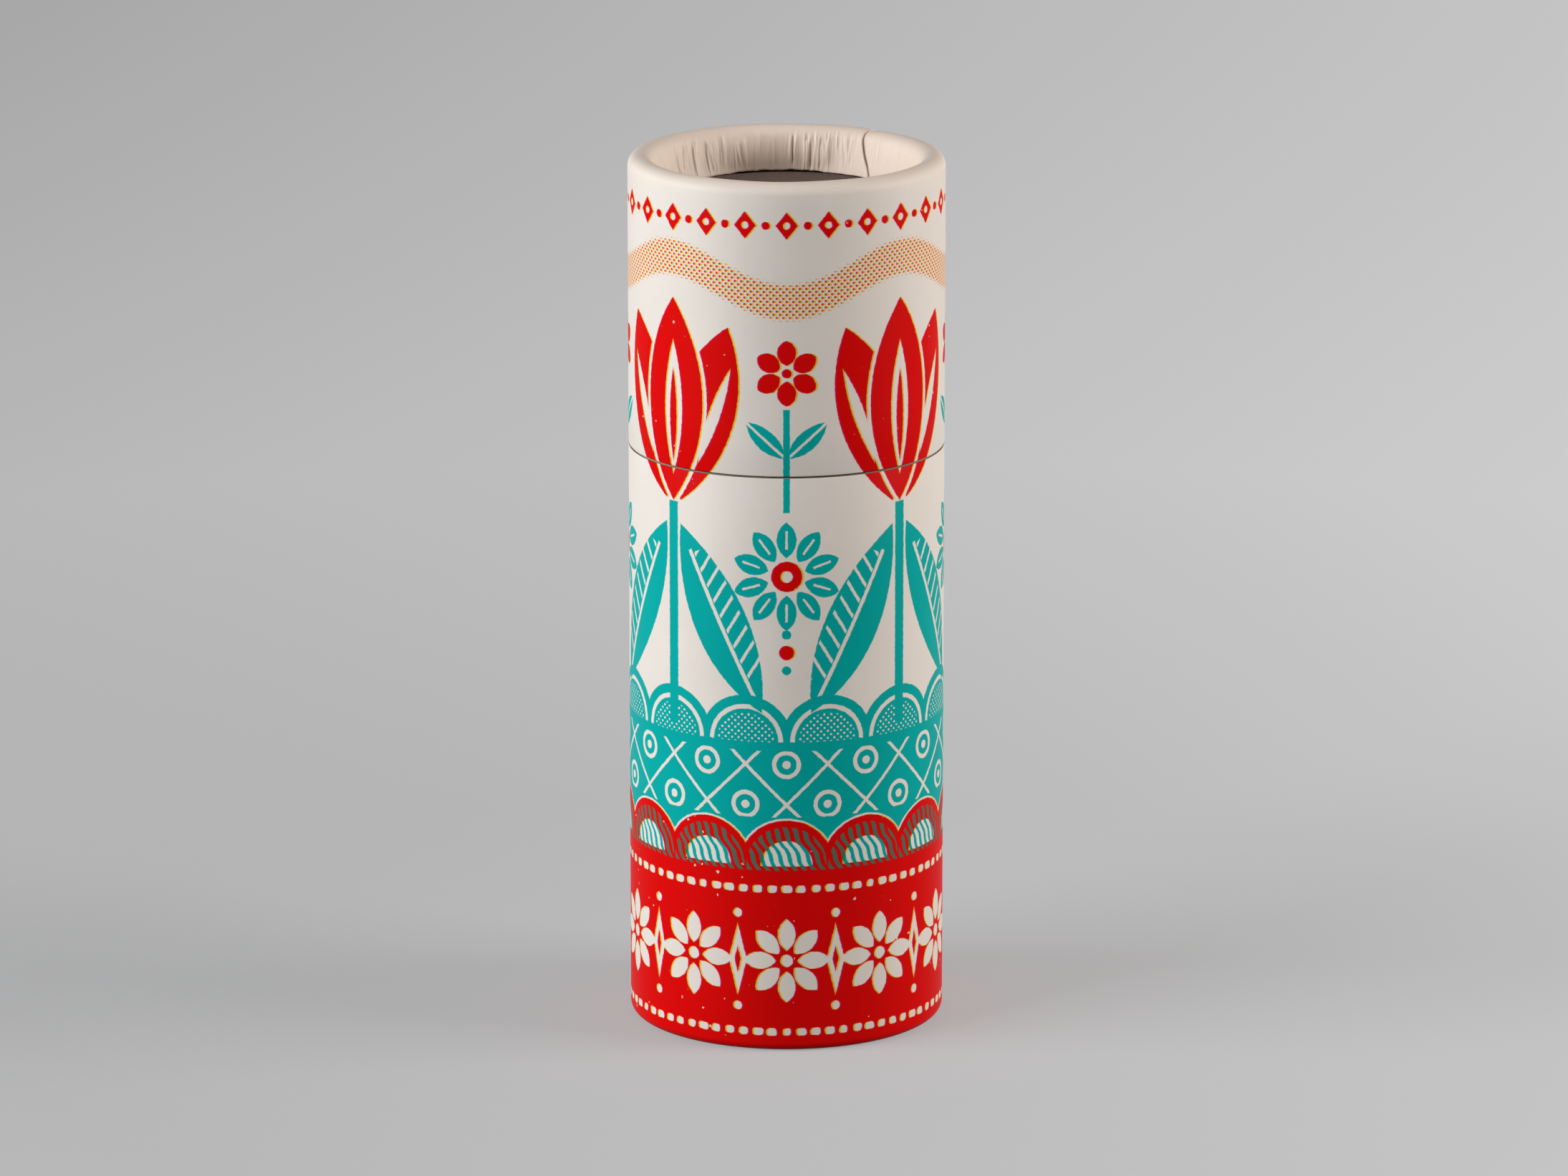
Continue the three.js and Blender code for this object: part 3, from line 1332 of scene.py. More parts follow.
@dataclass
class Solid:
    """A closed mesh under construction: points, four-cornered faces, and maps with a place for each corner.

    A three-cornered face repeats its last corner.
    """

    points: Array
    faces: Array
    maps: dict[str, Array] = field(default_factory=dict)
    vectors: dict[str, Array] = field(default_factory=dict)

    @classmethod
    def of_rings(cls, rings: Array) -> "Solid":
        """Closes rows of rings into a hoop, the last row joined to the first."""
        return cls(rings.reshape(-1, 3), cells(numbered(rings, joined_rows=1)))

    @classmethod
    def of_turning(cls, rings: Array, start: Array, end: Array) -> "Solid":
        """Closes rows of rings with a pole at each end.

        Args:
            rings: Points by row and column.
            start: The pole before the first row.
            end: The pole after the last row.

        Returns:
            The solid.
        """
        numbers = numbered(rings)
        first = rings.shape[0] * rings.shape[1]
        caps = [(right, left, first, first) for left, right in zip(numbers[0], numbers[0, 1:])]
        caps += [(left, right, first + 1, first + 1) for left, right in zip(numbers[-1], numbers[-1, 1:])]
        points = np.concatenate((rings.reshape(-1, 3), (start, end)))
        return cls(points, np.concatenate((cells(numbers), np.array(caps))))

    def outward(self) -> None:
        """Turns the faces round if they point inwards."""
        a, b, c, d = (self.points[self.faces[:, corner]] for corner in range(4))
        volume = np.sum(a * np.cross(b, c)) + np.sum(a * np.cross(c, d))
        if volume < 0:
            self.faces = self.faces[:, ::-1]
            self.maps = {name: places[:, ::-1] for name, places in self.maps.items()}

    def piece(self, name: str, material: Material) -> Piece:
        """Makes the mesh and its object.

        Args:
            name: The piece's name.
            material: Its finish.

        Returns:
            The object, at the origin.
        """
        self.outward()
        mesh = bpy.data.meshes.new(name)
        faces = [tuple(dict.fromkeys(face)) for face in self.faces.tolist()]
        mesh.from_pydata(self.points.tolist(), [], faces)
        for label, places in self.maps.items():
            layer = mesh.uv_layers.new(name=label)
            layer.uv.foreach_set("vector", places.reshape(-1).astype(np.float32))
        for label, vectors in self.vectors.items():
            attribute = mesh.attributes.new(label, "FLOAT_VECTOR", "POINT")
            attribute.data.foreach_set("vector", vectors.reshape(-1).astype(np.float32))
        mesh.shade_smooth()
        mesh.materials.append(material)
        return linked(name, mesh)


# Geometry node trees


class GeometryGroup(NodeGroup):
    """A geometry node tree under construction, which changes a piece and sets its finish."""

    def __init__(self, name: str, inputs: dict[str, str]) -> None:
        """Makes the tree, with these inputs between the geometry and the finish."""
        kinds = {"Geometry": GEOMETRY_SOCKET, **inputs, "Material": "NodeSocketMaterial"}
        super().__init__(name, "GeometryNodeTree", kinds, ("Geometry", GEOMETRY_SOCKET))

    def finish(self, geometry: Socket) -> None:
        """Ends the tree: instances made real, and the finish set.

        Args:
            geometry: What the tree has made.
        """
        real = self.add("GeometryNodeRealizeInstances", {"Geometry": geometry})
        dressed = {"Geometry": real[0], "Material": self.entry["Material"]}
        self.close(self.add("GeometryNodeSetMaterial", dressed)[0])

    def grow(self, piece: Piece, values: dict[str, Any]) -> None:
        """Runs the tree on a piece and leaves the result as its plain mesh.

        Args:
            piece: The piece to change.
            values: The tree's inputs by name.
        """
        modifier = piece.modifiers.new(self.tree.name, "NODES")
        modifier.node_group = self.tree
        for item in self.tree.interface.items_tree:
            if item.in_out == "INPUT" and item.name in values:
                modifier[item.identifier] = values[item.name]
        graph = bpy.context.evaluated_depsgraph_get()
        made = bpy.data.meshes.new_from_object(
            piece.evaluated_get(graph), preserve_all_data_layers=True, depsgraph=graph
        )
        piece.modifiers.remove(modifier)
        bare = piece.data
        piece.data = made
        bpy.data.meshes.remove(bare)
        made.name = piece.name


@dataclass(frozen=True)
class Grit:
    """How loose grains lie on a coat: how many to a square metre, and their smallest and largest radius."""

    density: float
    smallest: float
    largest: float


class GritTree(GeometryGroup):
    """Scatters angular grains over the coated faces of a piece."""

    def __init__(self) -> None:
        """Builds the tree."""
        lengths = {label: FLOAT_SOCKET for label in ("Density", "Smallest", "Largest")}
        super().__init__("scattered_grit", {**lengths, "Seed": "NodeSocketInt"})
        body, density, smallest, largest, seed = list(self.entry)[:5]
        coated = self.add("GeometryNodeInputNamedAttribute", {"Name": COATED}, data_type="BOOLEAN")
        points = self.add(
            "GeometryNodeDistributePointsOnFaces",
            {"Mesh": body, "Selection": coated["Attribute"], "Density": density, "Seed": seed},
        )
        sizes = self.add(
            "FunctionNodeRandomValue", {"Min": smallest, "Max": largest, "Seed": seed}, data_type="FLOAT"
        )
        turns = self.add(
            "FunctionNodeRandomValue", {"Max": (math.tau,) * 3, "Seed": seed}, data_type="FLOAT_VECTOR"
        )
        grain = self.add("GeometryNodeMeshIcoSphere", {"Radius": 1.0, "Subdivisions": 1})
        size = next(output for output in sizes if output.enabled)
        grains = self.add(
            "GeometryNodeInstanceOnPoints",
            {"Points": points["Points"], "Instance": grain["Mesh"], "Rotation": turns[0], "Scale": size},
        )
        join = self.tree.nodes.new("GeometryNodeJoinGeometry")
        self.tree.links.new(grains["Instances"], join.inputs[0])
        self.tree.links.new(body, join.inputs[0])
        self.finish(join.outputs[0])

    def scatter(self, piece: Piece, coated: list[bool], grit: Grit, seed: int, material: Material) -> None:
        """Scatters grains over a piece.

        Args:
            piece: The piece.
            coated: For each of its points, whether it is coated.
            grit: The grains.
            seed: The seed of the scatter.
            material: The finish of the piece and its grains.
        """
        marks = piece.data.attributes.new(COATED, "BOOLEAN", "POINT")
        marks.data.foreach_set("value", coated)
        values = {"Density": grit.density, "Smallest": grit.smallest, "Largest": grit.largest}
        self.grow(piece, {**values, "Seed": seed, "Material": material})


class SpiralTubeTree(GeometryGroup):
    """Rolls a straight board tube with rounded lips and the shallow spiral joint of its outer ply."""

    LENGTHS = ("Inner Radius", "Outer Radius", "Bottom", "Top", "Lip", "Step", "Rise", "Joint", "Depth")
    LIP_STEPS = 3

    def __init__(self) -> None:
        """Builds the tree."""
        lengths = {label: FLOAT_SOCKET for label in self.LENGTHS}
        super().__init__("spiral_tube", {**lengths, "Columns": "NodeSocketInt"})
        entries = self.signals(self.entry[label] for label in lengths)
        inner, outer, bottom, top, lip, step, *joint = entries
        section = self.add(
            "GeometryNodeCurvePrimitiveQuadrilateral", {"Width": outer - inner, "Height": top - bottom}
        )
        rounding = {"Curve": section[0], "Radius": lip, "Count": self.LIP_STEPS}
        section = self.add("GeometryNodeFilletCurve", rounding, mode="POLY")
        section = self.add("GeometryNodeResampleCurve", {"Curve": section[0], "Length": step}, mode="LENGTH")
        hoop = self.add(
            "GeometryNodeCurvePrimitiveCircle",
            {"Resolution": self.entry["Columns"], "Radius": (inner + outer) * 0.5},
        )
        tube = self.add("GeometryNodeCurveToMesh", {"Curve": hoop[0], "Profile Curve": section[0]})
        lift = self.add("ShaderNodeCombineXYZ", {"Z": (bottom + top) * 0.5})
        tube = self.add("GeometryNodeTransform", {"Geometry": tube[0], "Translation": lift[0]})
        offset = self.joint_offset(outer, *joint)
        tube = self.add("GeometryNodeSetPosition", {"Geometry": tube[0], "Offset": offset})
        self.finish(self.add("GeometryNodeSetShadeSmooth", {"Geometry": tube[0]})[0])

    def joint_offset(self, outer: Signal, rise: Signal, joint: Signal, depth: Signal) -> Socket:
        """The way in that each point of the outer ply moves at the spiral joint.

        Args:
            outer: The tube's outer radius.
            rise: The joint's climb in one turn.
            joint: Half its width.
            depth: Its depth.

        Returns:
            The offset.
        """
        place = self.add("GeometryNodeInputPosition", {})[0]
        x, y, z = self.signals(self.add("ShaderNodeSeparateXYZ", {"Vector": place}))
        turn = x.math("ARCTAN2", x, y) * (1.0 / math.tau)
        away = abs((z / rise - turn).wrapped(1.0)) * rise / joint
        groove = away.math("SUBTRACT", 1.0, away, clamp=True)
        radius = Point(x, y).length()
        skin = radius.math("GREATER_THAN", radius, outer - depth * 2.0)
        pull = groove * skin * depth / radius
        return self.add("ShaderNodeCombineXYZ", {"X": -(x * pull), "Y": -(y * pull)})[0]


# The rolled tubes


@dataclass(frozen=True)
class RimPath:
    """A rolled rim's section as points from the tube's mouth to the end of its turned-in flange.

    Radius and drop are measured from the axis and the crest, and the skin faces across and along them.
    Curl is 0 up to the crest, then the share of the way to the flange's end. The rest is how far along the
    section a point lies, past the end of the wall and as a share of the whole.
    """

    radius: Array
    drop: Array
    across: Array
    along: Array
    curl: Array
    past_wall: Array
    share: Array


@dataclass(frozen=True)
class RolledRim:
    """The section of a tube whose end is rolled in: a wall, a crest and a leaning flange."""

    outer_radius: float
    width: float
    corner: float
    wall: float
    flange: float
    lean: float
    wall_rows: int = 6
    corner_rows: int = 9
    flange_rows: int = 16
    lip: float = 0.12 * MM
    least_corner: float = 0.1 * MM
    least_step: float = 0.001 * MM

    def path(self, depth: float) -> RimPath:
        """The section a set depth under the skin.

        Args:
            depth: How deep.

        Returns:
            The section's points.
        """
        corner = max(self.corner - depth, self.least_corner)
        wall_radius = self.outer_radius - depth
        flange_radius = self.outer_radius - self.width + depth
        bend = np.linspace(0.0, math.pi / 2, self.corner_rows)
        inset = corner * (1 - np.cos(bend))
        bend_drop = depth + corner * (1 - np.sin(bend))
        wall = np.linspace(self.wall - self.lip, depth + corner, self.wall_rows, endpoint=False)
        wall = np.concatenate(([self.wall], wall))
        share = np.linspace(0.0, 1.0, self.flange_rows + 1)[1:]
        flange = bend_drop[0] + (self.flange - bend_drop[0]) * share
        wall_side = (np.full(len(wall), wall_radius), wall_radius - inset)
        flange_side = ((flange_radius + inset)[::-1], flange_radius - self.lean * share)
        radius = np.concatenate(wall_side + flange_side)
        drop = np.concatenate((wall, bend_drop, bend_drop[::-1], flange))
        steps = np.hypot(np.diff(radius), np.diff(drop))
        kept = np.concatenate(([True], steps > self.least_step))
        radius, drop = radius[kept], drop[kept]
        way = np.concatenate(([0.0], np.cumsum(np.hypot(np.diff(radius), np.diff(drop)))))
        crest = way[np.argmin(drop)]
        return RimPath(
            radius=radius,
            drop=drop,
            across=-np.gradient(drop, way),
            along=np.gradient(radius, way),
            curl=np.clip((way - crest) / (way[-1] - crest), 0.0, 1.0),
            past_wall=np.maximum(way - (self.wall - bend_drop[0]), 0.0),
            share=way / way[-1],
        )


@dataclass(frozen=True)
class Gather:
    """A place where turned-in paper gathers in pleats. Its middle and spread are in degrees."""

    middle: float
    spread: float
    pleats: int
    strength: float = 1.0


@dataclass(frozen=True)
class Pleats:
    """The creases of paper that is turned in round a curve, gathered in a few places."""

    radius: float
    seed: int
    gathers: tuple[Gather, ...] = (
        Gather(169.0, 6.5, 20),
        Gather(212.0, 9.5, 32),
        Gather(151.0, 4.0, 9, 0.4),
        Gather(30.0, 40.0, 40),
        Gather(310.0, 40.0, 40),
        Gather(180.0, 120.0, 40, 0.6),
    )
    close_gathers: int = 3
    height: Pair = (0.06 * MM, 0.3 * MM)
    steep: Pair = (0.05 * MM, 0.12 * MM)
    gentle: Pair = (0.12 * MM, 0.5 * MM)
    start: Pair = (0.12, 0.5)
    reach: Pair = (0.25, 0.6)
    ease: float = 0.18
    drift: float = 0.09
    most: float = 0.34 * MM

    def gathering(self, angle: Array) -> Array:
        """How closely the pleats stand in the gathers at the back.

        Args:
            angle: Angles about the axis.

        Returns:
            The closeness at each angle.
        """
        total = np.zeros_like(angle)
        for gather in self.gathers[: self.close_gathers]:
            away = half_turned(angle - math.radians(gather.middle))
            total += np.exp(-((away / math.radians(2 * gather.spread)) ** 2))
        return total

    def relief(self, angle: Array, curl: Array) -> Array:
        """How far the paper stands out.

        Args:
            angle: Angles about the axis, by row and column.
            curl: The share of the way to the flange's end, by row.

        Returns:
            Heights by row and column.
        """
        draw = random.Random(self.seed)
        total = np.zeros_like(angle)
        for gather in self.gathers:
            for _ in range(gather.pleats):
                centre = math.radians(draw.gauss(gather.middle, gather.spread))
                height = draw.uniform(*self.height) * gather.strength
                sides = [draw.uniform(*self.steep), draw.uniform(*self.gentle)]
                draw.shuffle(sides)
                start = draw.uniform(*self.start)
                end = start + draw.uniform(*self.reach)
                drift = draw.uniform(-self.drift, self.drift)
                away = half_turned(angle - centre - drift * (curl - start)) * self.radius
                fold = np.where(away < 0, np.exp(away / sides[0]), np.exp(-away / sides[1]))
                total += height * shown(start, end, self.ease, curl) * fold
        return self.most * np.tanh(total / self.most)


@dataclass(frozen=True)
class Tuck:
    """A deep crease in the flange: its angle in degrees, and where on the way in it starts and ends."""

    degrees: float
    start: float
    end: float


@dataclass(frozen=True)
class PaperWrap:
    """A printed sheet rolled round a tube, over its rim and in, with its two ends lapped.

    Its back, its cut edges as strips, and its front share one picture, at heights from 0 to 1.
    """

    rim: RolledRim
    facing: Facing
    crest: float
    paper: float
    pleats: Pleats
    wave: float
    columns: int = 880
    oversampling: int = 8
    crowding: float = 2.4
    lap_angle: float = math.radians(154.6)
    lap: float = 3.5 * MM
    lap_room: float = 1.1
    lap_ease: float = 2.0 * MM
    lap_curl: float = 0.34 * MM
    lap_reach: float = 1.3 * MM
    lap_bow: float = 0.02
    lap_sweep: float = 0.14
    sweep_power: float = 2.5
    sunk: float = 1.06
    pressed: float = 0.13 * MM
    pressed_reach: float = 0.5 * MM
    tucks: tuple[Tuck, ...] = (Tuck(236.6, 0.35, 1.2), Tuck(177.2, 0.25, 0.8), Tuck(169.2, 0.35, 0.85))
    tuck_depth: float = 0.28 * MM
    tuck_width: float = 0.15 * MM
    tuck_ease: float = 0.2
    ragged: float = 0.42 * MM
    ragged_power: int = 5
    ragged_waves: tuple[tuple[int, float], ...] = ((5, 0.16), (13, 0.12), (31, 0.1), (57, 0.08), (103, 0.04))
    upright: Pair = (188.0, 30.0)
    flare: float = 1.0 * MM
    flare_power: int = 6
    flare_lift: float = 0.15 * MM
    flare_calm: float = 0.8
    wave_counts: tuple[int, int] = (3, 5)
    wave_phase: float = 0.7
    lip: float = 0.04 * MM
    back_height: float = 0.06
    strip_starts: tuple[float, ...] = (0.066, 0.074, 0.082, 0.090)
    strip_height: float = 0.004
    front_start: float = 0.1

    @property
    def sunk_depth(self) -> float:
        """How deep the lower end lies under the upper one."""
        return self.sunk * self.paper

    def solid(self) -> Solid:
        """Builds the sheet.

        Returns:
            The closed sheet, with its print map and a map for its own picture.
        """
        path = self.rim.path(0.0)
        across, along, curl = (values[:, None] for values in (path.across, path.along, path.curl))
        way = self.ways()
        left = way[-1] - way
        bow = self.lap_bow * np.sin(curl * math.pi) - self.lap_sweep * curl**self.sweep_power
        angle = self.lap_angle - way / self.rim.outer_radius + bow * np.exp(-left / (2 * self.lap_reach))
        relief = self.relief(way, angle, along, curl)
        flaring = self.flaring(angle)
        fray = self.fray(angle) * (1 - self.flare_calm * flaring) + self.flare_lift * flaring
        drop = path.drop[:, None] - fray * curl**self.ragged_power
        radius = path.radius[:, None] - self.flare * flaring * curl**self.flare_power
        pressed = self.pressed * (1 - curl) ** 2 * np.exp(-left / self.pressed_reach)
        skins = []
        for skin in (relief - pressed, relief - self.paper):
            height = self.crest + self.facing.value * np.maximum(drop + along * skin, 0.0)
            skins.append(round_points(radius + across * skin, angle, height))
        return self.sheet(skins[0], skins[1], self.print_places(path, angle), way / way[-1], path.share)

    def ways(self) -> Array:
        """Lays out the sheet's columns.

        Returns:
            Places along the sheet from end to end, closer together where the pleats gather.
        """
        full = math.tau * self.rim.outer_radius + self.lap
        even = np.linspace(0.0, full, self.oversampling * self.columns)
        angle = self.lap_angle - even / self.rim.outer_radius
        crowd = np.cumsum(1 + self.crowding * self.pleats.gathering(angle))
        return np.interp(np.linspace(crowd[0], crowd[-1], self.columns + 1), crowd, even)

    def relief(self, way: Array, angle: Array, along: Array, curl: Array) -> Array:
        """How far the printed skin stands out: pleats, tucks, the lap and the uneven crest.

        Args:
            way: Places along the sheet, by column.
            angle: Angles about the axis, by row and column.
            along: The skin's direction away from the crest, by row.
            curl: The share of the way to the flange's end, by row.

        Returns:
            Heights by row and column.
        """
        start = self.lap * self.lap_room
        under = self.sunk_depth * (1 - smoothstep(start, start + self.lap_ease, way))
        on_crest = np.clip(-along, 0.0, 1.0) ** 2
        relief = self.pleats.relief(angle, curl) * (1 - on_crest) - under - self.tuck(angle, curl)
        relief = relief + self.lap_curl * curl * np.exp((way - way[-1]) / self.lap_reach)
        first, second = self.wave_counts
        waves = np.sin(first * angle + self.wave_phase) * np.sin(second * angle)
        relief = relief - self.wave * (1 - waves) * on_crest
        relief[0] -= self.lip
        return relief

    def tuck(self, angle: Array, curl: Array) -> Array:
        """The depth of the few deep creases in the flange.

        Args:
            angle: Angles about the axis, by row and column.
            curl: The share of the way to the flange's end, by row.

        Returns:
            Depths by row and column.
        """
        depth = np.zeros_like(angle)
        for tuck in self.tucks:
            away = half_turned(angle - math.radians(tuck.degrees)) * self.pleats.radius
            crease = np.exp(-((away / self.tuck_width) ** 2))
            depth += shown(tuck.start, tuck.end, self.tuck_ease, curl) * crease
        return self.tuck_depth * depth

    def flaring(self, angle: Array) -> Array:
        """The share by which the end of the flange spreads inwards, none where it stays upright."""
        away = half_turned(angle - math.radians(self.upright[0]))
        return 1 - np.exp(-((away / math.radians(self.upright[1])) ** 2))

    def fray(self, angle: Array) -> Array:
        """How much shorter than its full reach the torn end of the flange is."""
        waves = sum(swing * np.sin(count * angle + count) for count, swing in self.ragged_waves)
        return self.ragged * (0.5 + waves)

    def print_places(self, path: RimPath, angle: Array) -> Array:
        """Where each point lies on the print.

        Args:
            path: The rim's section.
            angle: Angles about the axis, by row and column.

        Returns:
            Places in millimetres, round from the front and up from the foot.
        """
        on_wall = np.where(path.past_wall > 0, self.rim.corner, path.drop)
        up = self.crest + self.facing.value * (on_wall - path.past_wall)
        return np.stack(np.broadcast_arrays(angle * self.rim.outer_radius, up[:, None]), axis=-1) / MM

    def sheet(
        self,
        outer: Array,
        inner: Array,
        print_places: Array,
        share_round: Array,
        share_up: Array,
    ) -> Solid:
        """Closes two skins into a sheet with cut edges.

        Args:
            outer: The printed skin's points by row and column.
            inner: The glued skin's points.
            print_places: Where each point lies on the print.
            share_round: How far along the sheet each column lies.
            share_up: How far up the sheet each row lies.

        Returns:
            The sheet.
        """
        rows, columns = outer.shape[:2]
        front = np.arange(rows * columns).reshape(rows, columns)
        back = front + rows * columns
        front_up = self.front_start + (1 - self.front_start) * share_up
        back_picture = spread(share_round[::-1], self.back_height * share_up)
        patches = [
            (front, spread(share_round, front_up), print_places),
            (back[:, ::-1], back_picture, print_places[:, ::-1]),
        ]
        cut = np.stack((print_places[0, :, 0], np.full(columns, CUT_EDGE[1] - 1)), axis=-1)
        borders = (
            (back[0], front[0], share_round, cut),
            (front[-1], back[-1], share_round, cut),
            (front[:, 0], back[:, 0], share_up, print_places[:, 0]),
            (back[:, -1], front[:, -1], share_up, print_places[:, -1]),
        )
        for (first, second, share, places), height in zip(borders, self.strip_starts):
            strip = spread(share, np.array((height, height + self.strip_height)))
            patches.append((np.stack((first, second)), strip, np.stack((places, places))))
        corners = [[cells(grid) for grid in grids] for grids in zip(*patches)]
        numbers, pictures, prints = (np.concatenate(parts) for parts in corners)
        points = np.concatenate((outer.reshape(-1, 3), inner.reshape(-1, 3)))
        return Solid(points, numbers, {PRINT_MAP: prints, BAKE_MAP: pictures})


@dataclass(frozen=True)
class BoardTube:
    """The rolled board under a wrap, between two depths under the skin of a section."""

    wrap: PaperWrap
    rim: RolledRim
    outer_depth: float
    inner_depth: float
    columns: int = 240
    lap_edge: float = 1.0 * MM

    def solid(self) -> Solid:
        """Builds the tube.

        Returns:
            The closed tube, dented where the wrap's ends lap over it.
        """
        wrap = self.wrap
        angle = around(self.columns)
        away = (wrap.lap_angle - angle) % math.tau * self.rim.outer_radius
        dent = wrap.sunk_depth * (1 - smoothstep(wrap.lap, 2 * wrap.lap, away))
        dent = dent * smoothstep(0.0, self.lap_edge, away)
        skins = []
        for depth, sunk in ((self.outer_depth, dent), (self.inner_depth, 0.0 * dent)):
            path = self.rim.path(depth)
            radius = path.radius[:, None] - path.across[:, None] * sunk
            drop = path.drop[:, None] - path.along[:, None] * sunk
            skins.append(round_points(radius, angle, wrap.crest + wrap.facing.value * drop))
        return Solid.of_rings(np.concatenate((skins[0], skins[1][::-1])))


@dataclass(frozen=True)
class RoundPlate:
    """A punched round plate with rounded edges."""

    radius: float
    bottom: float
    top: float
    edge: float
    columns: int = 120
    face_rows: int = 14
    edge_rows: int = 5

    def solid(self) -> Solid:
        """Builds the plate.

        Returns:
            The closed plate.
        """
        bend = np.linspace(0.0, math.pi / 2, self.edge_rows)[1:]
        face = np.linspace(0.0, self.radius - self.edge, self.face_rows)[1:]
        radius = np.concatenate((face, self.radius - self.edge * (1 - np.sin(bend))))
        inset = np.concatenate((np.zeros(len(face)), self.edge * (1 - np.cos(bend))))
        radius = np.concatenate((radius, radius[::-1]))
        height = np.concatenate((self.bottom + inset, (self.top - inset)[::-1]))
        rings = round_points(radius[:, None], around(self.columns), height[:, None])
        return Solid.of_turning(rings, np.array((0.0, 0.0, self.bottom)), np.array((0.0, 0.0, self.top)))


@dataclass(frozen=True)
class TubeSizes:
    """The sizes that the tube's pieces share. The board's gap is measured from its wrap's printed skin."""

    paper: float = 0.2 * MM
    board_gap: float = 0.25 * MM
    board: float = 1.0 * MM
    rim_hollow: float = 0.7 * MM
    lean: float = 0.6 * MM
    base_corner: float = 1.2 * MM
    disc_edge: float = 0.15 * MM

    @property
    def outer_radius(self) -> float:
        """The tube's radius, from the frame."""
        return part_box("base_wrap")[1].x

    @property
    def rim_width(self) -> float:
        """The width of a rolled rim: paper and board there and back, and the hollow between."""
        return 2 * (self.board_gap + self.board) + self.rim_hollow

    @property
    def print_turn(self) -> float:
        """The length of the print round the tube, in millimetres."""
        return math.tau * self.outer_radius / MM

    def rim(self, corner: float, wall: float, flange: float) -> RolledRim:
        """The section of a rolled rim, from its corners' radius, the tube's height and the flange's reach."""
        return RolledRim(self.outer_radius, self.rim_width, corner, wall, flange, self.lean)


def dress(piece: Piece, body: str, node: str) -> None:
    """Puts a finished piece on its body in place of a node, and reports it.

    Args:
        piece: The piece.
        body: The body that carries it.
        node: The node that it stands for.
    """
    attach(piece, body)
    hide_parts(node)
    LOG.info("%s on %s: %d faces", piece.name, body, len(piece.data.polygons))


@dataclass(frozen=True)
class RolledTube:
    """What the lid and the base have alike: a printed wrap, the rolled board under it and an end disc.

    The print's flange is given as the heights where it starts and where it is reached. The board's flange
    ends a little short of the paper's.
    """

    sizes: TubeSizes
    grey_board: Material
    white_board: Material
    body: str
    pleat_seed: int
    print_flange: Pair
    crest_wave: float
    board_short: float

    def roll(self, rim: RolledRim, facing: Facing, crest: float, plates: Plates) -> None:
        """Builds and dresses the three pieces.

        Args:
            rim: The wrap's section.
            facing: Which way its rim faces.
            crest: The height of the rim's crest.
            plates: The wrap's print.
        """
        pleats = Pleats(rim.outer_radius - rim.width, self.pleat_seed)
        wrap = PaperWrap(rim, facing, crest, self.sizes.paper, pleats, self.crest_wave)
        paper = PrintedPaper(name=f"{self.body}_paper", plates=plates, flange=self.print_flange)
        sheet = wrap.solid().piece(f"{self.body}_printed_wrap", paper.material())
        dress(sheet, self.body, f"{self.body}_wrap")
        board_rim = replace(rim, flange=rim.flange - self.board_short)
        gap = self.sizes.board_gap
        board = BoardTube(wrap, board_rim, gap, gap + self.sizes.board).solid()
        tube = board.piece(f"{self.body}_board_tube", self.grey_board)
        dress(tube, self.body, f"{self.body}_tube")
        low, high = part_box(f"{self.body}_disc")
        plate = RoundPlate(high.x, low.z, high.z, self.sizes.disc_edge).solid()
        disc = plate.piece(f"{self.body}_end_disc", self.white_board)
        dress(disc, self.body, f"{self.body}_disc")


@dataclass(frozen=True)
class SlipLid(RolledTube):
    """The lid: a rolled tube with the striking pad on its end disc."""

    body: str = "lid"
    pleat_seed: int = 11
    print_flange: Pair = (112.5, 115.5)
    crest_wave: float = 0.05 * MM
    board_short: float = 1.0 * MM
    flange_past: float = 0.1 * MM
    pad_edge: float = 0.12 * MM
    pad_columns: int = 160
    grit: Grit = Grit(3.6e6, 0.03 * MM, 0.075 * MM)
    grit_seed: int = 5
    grit_room: float = 0.05 * MM

    def build(self, scatter: GritTree) -> None:
        """Builds and dresses the lid's pieces.

        Args:
            scatter: What scatters the pad's grit.
        """
        low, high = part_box("lid_wrap")
        _, pad_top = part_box("striker_pad")
        flange = high.z - pad_top.z + self.flange_past
        rim = self.sizes.rim(self.sizes.rim_width / 2, high.z - low.z, flange)
        self.roll(rim, Facing.UP, high.z, LidPlates(self.sizes.print_turn))
        dress(self.striking_pad(scatter), "lid", "striker_pad")

    def striking_pad(self, scatter: GritTree) -> Piece:
        """Builds the striking pad with its grit.

        Args:
            scatter: What scatters the grit.

        Returns:
            The piece.
        """
        low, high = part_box("striker_pad")
        coat = StrikingCoat().material()
        plate = RoundPlate(high.x, low.z, high.z - self.grit_room, self.pad_edge, self.pad_columns)
        pad = plate.solid().piece("striking_pad", coat)
        coated = vertices(pad)[:, 2] > high.z - 2 * self.grit_room
        scatter.scatter(pad, coated.tolist(), self.grit, self.grit_seed, coat)
        return pad


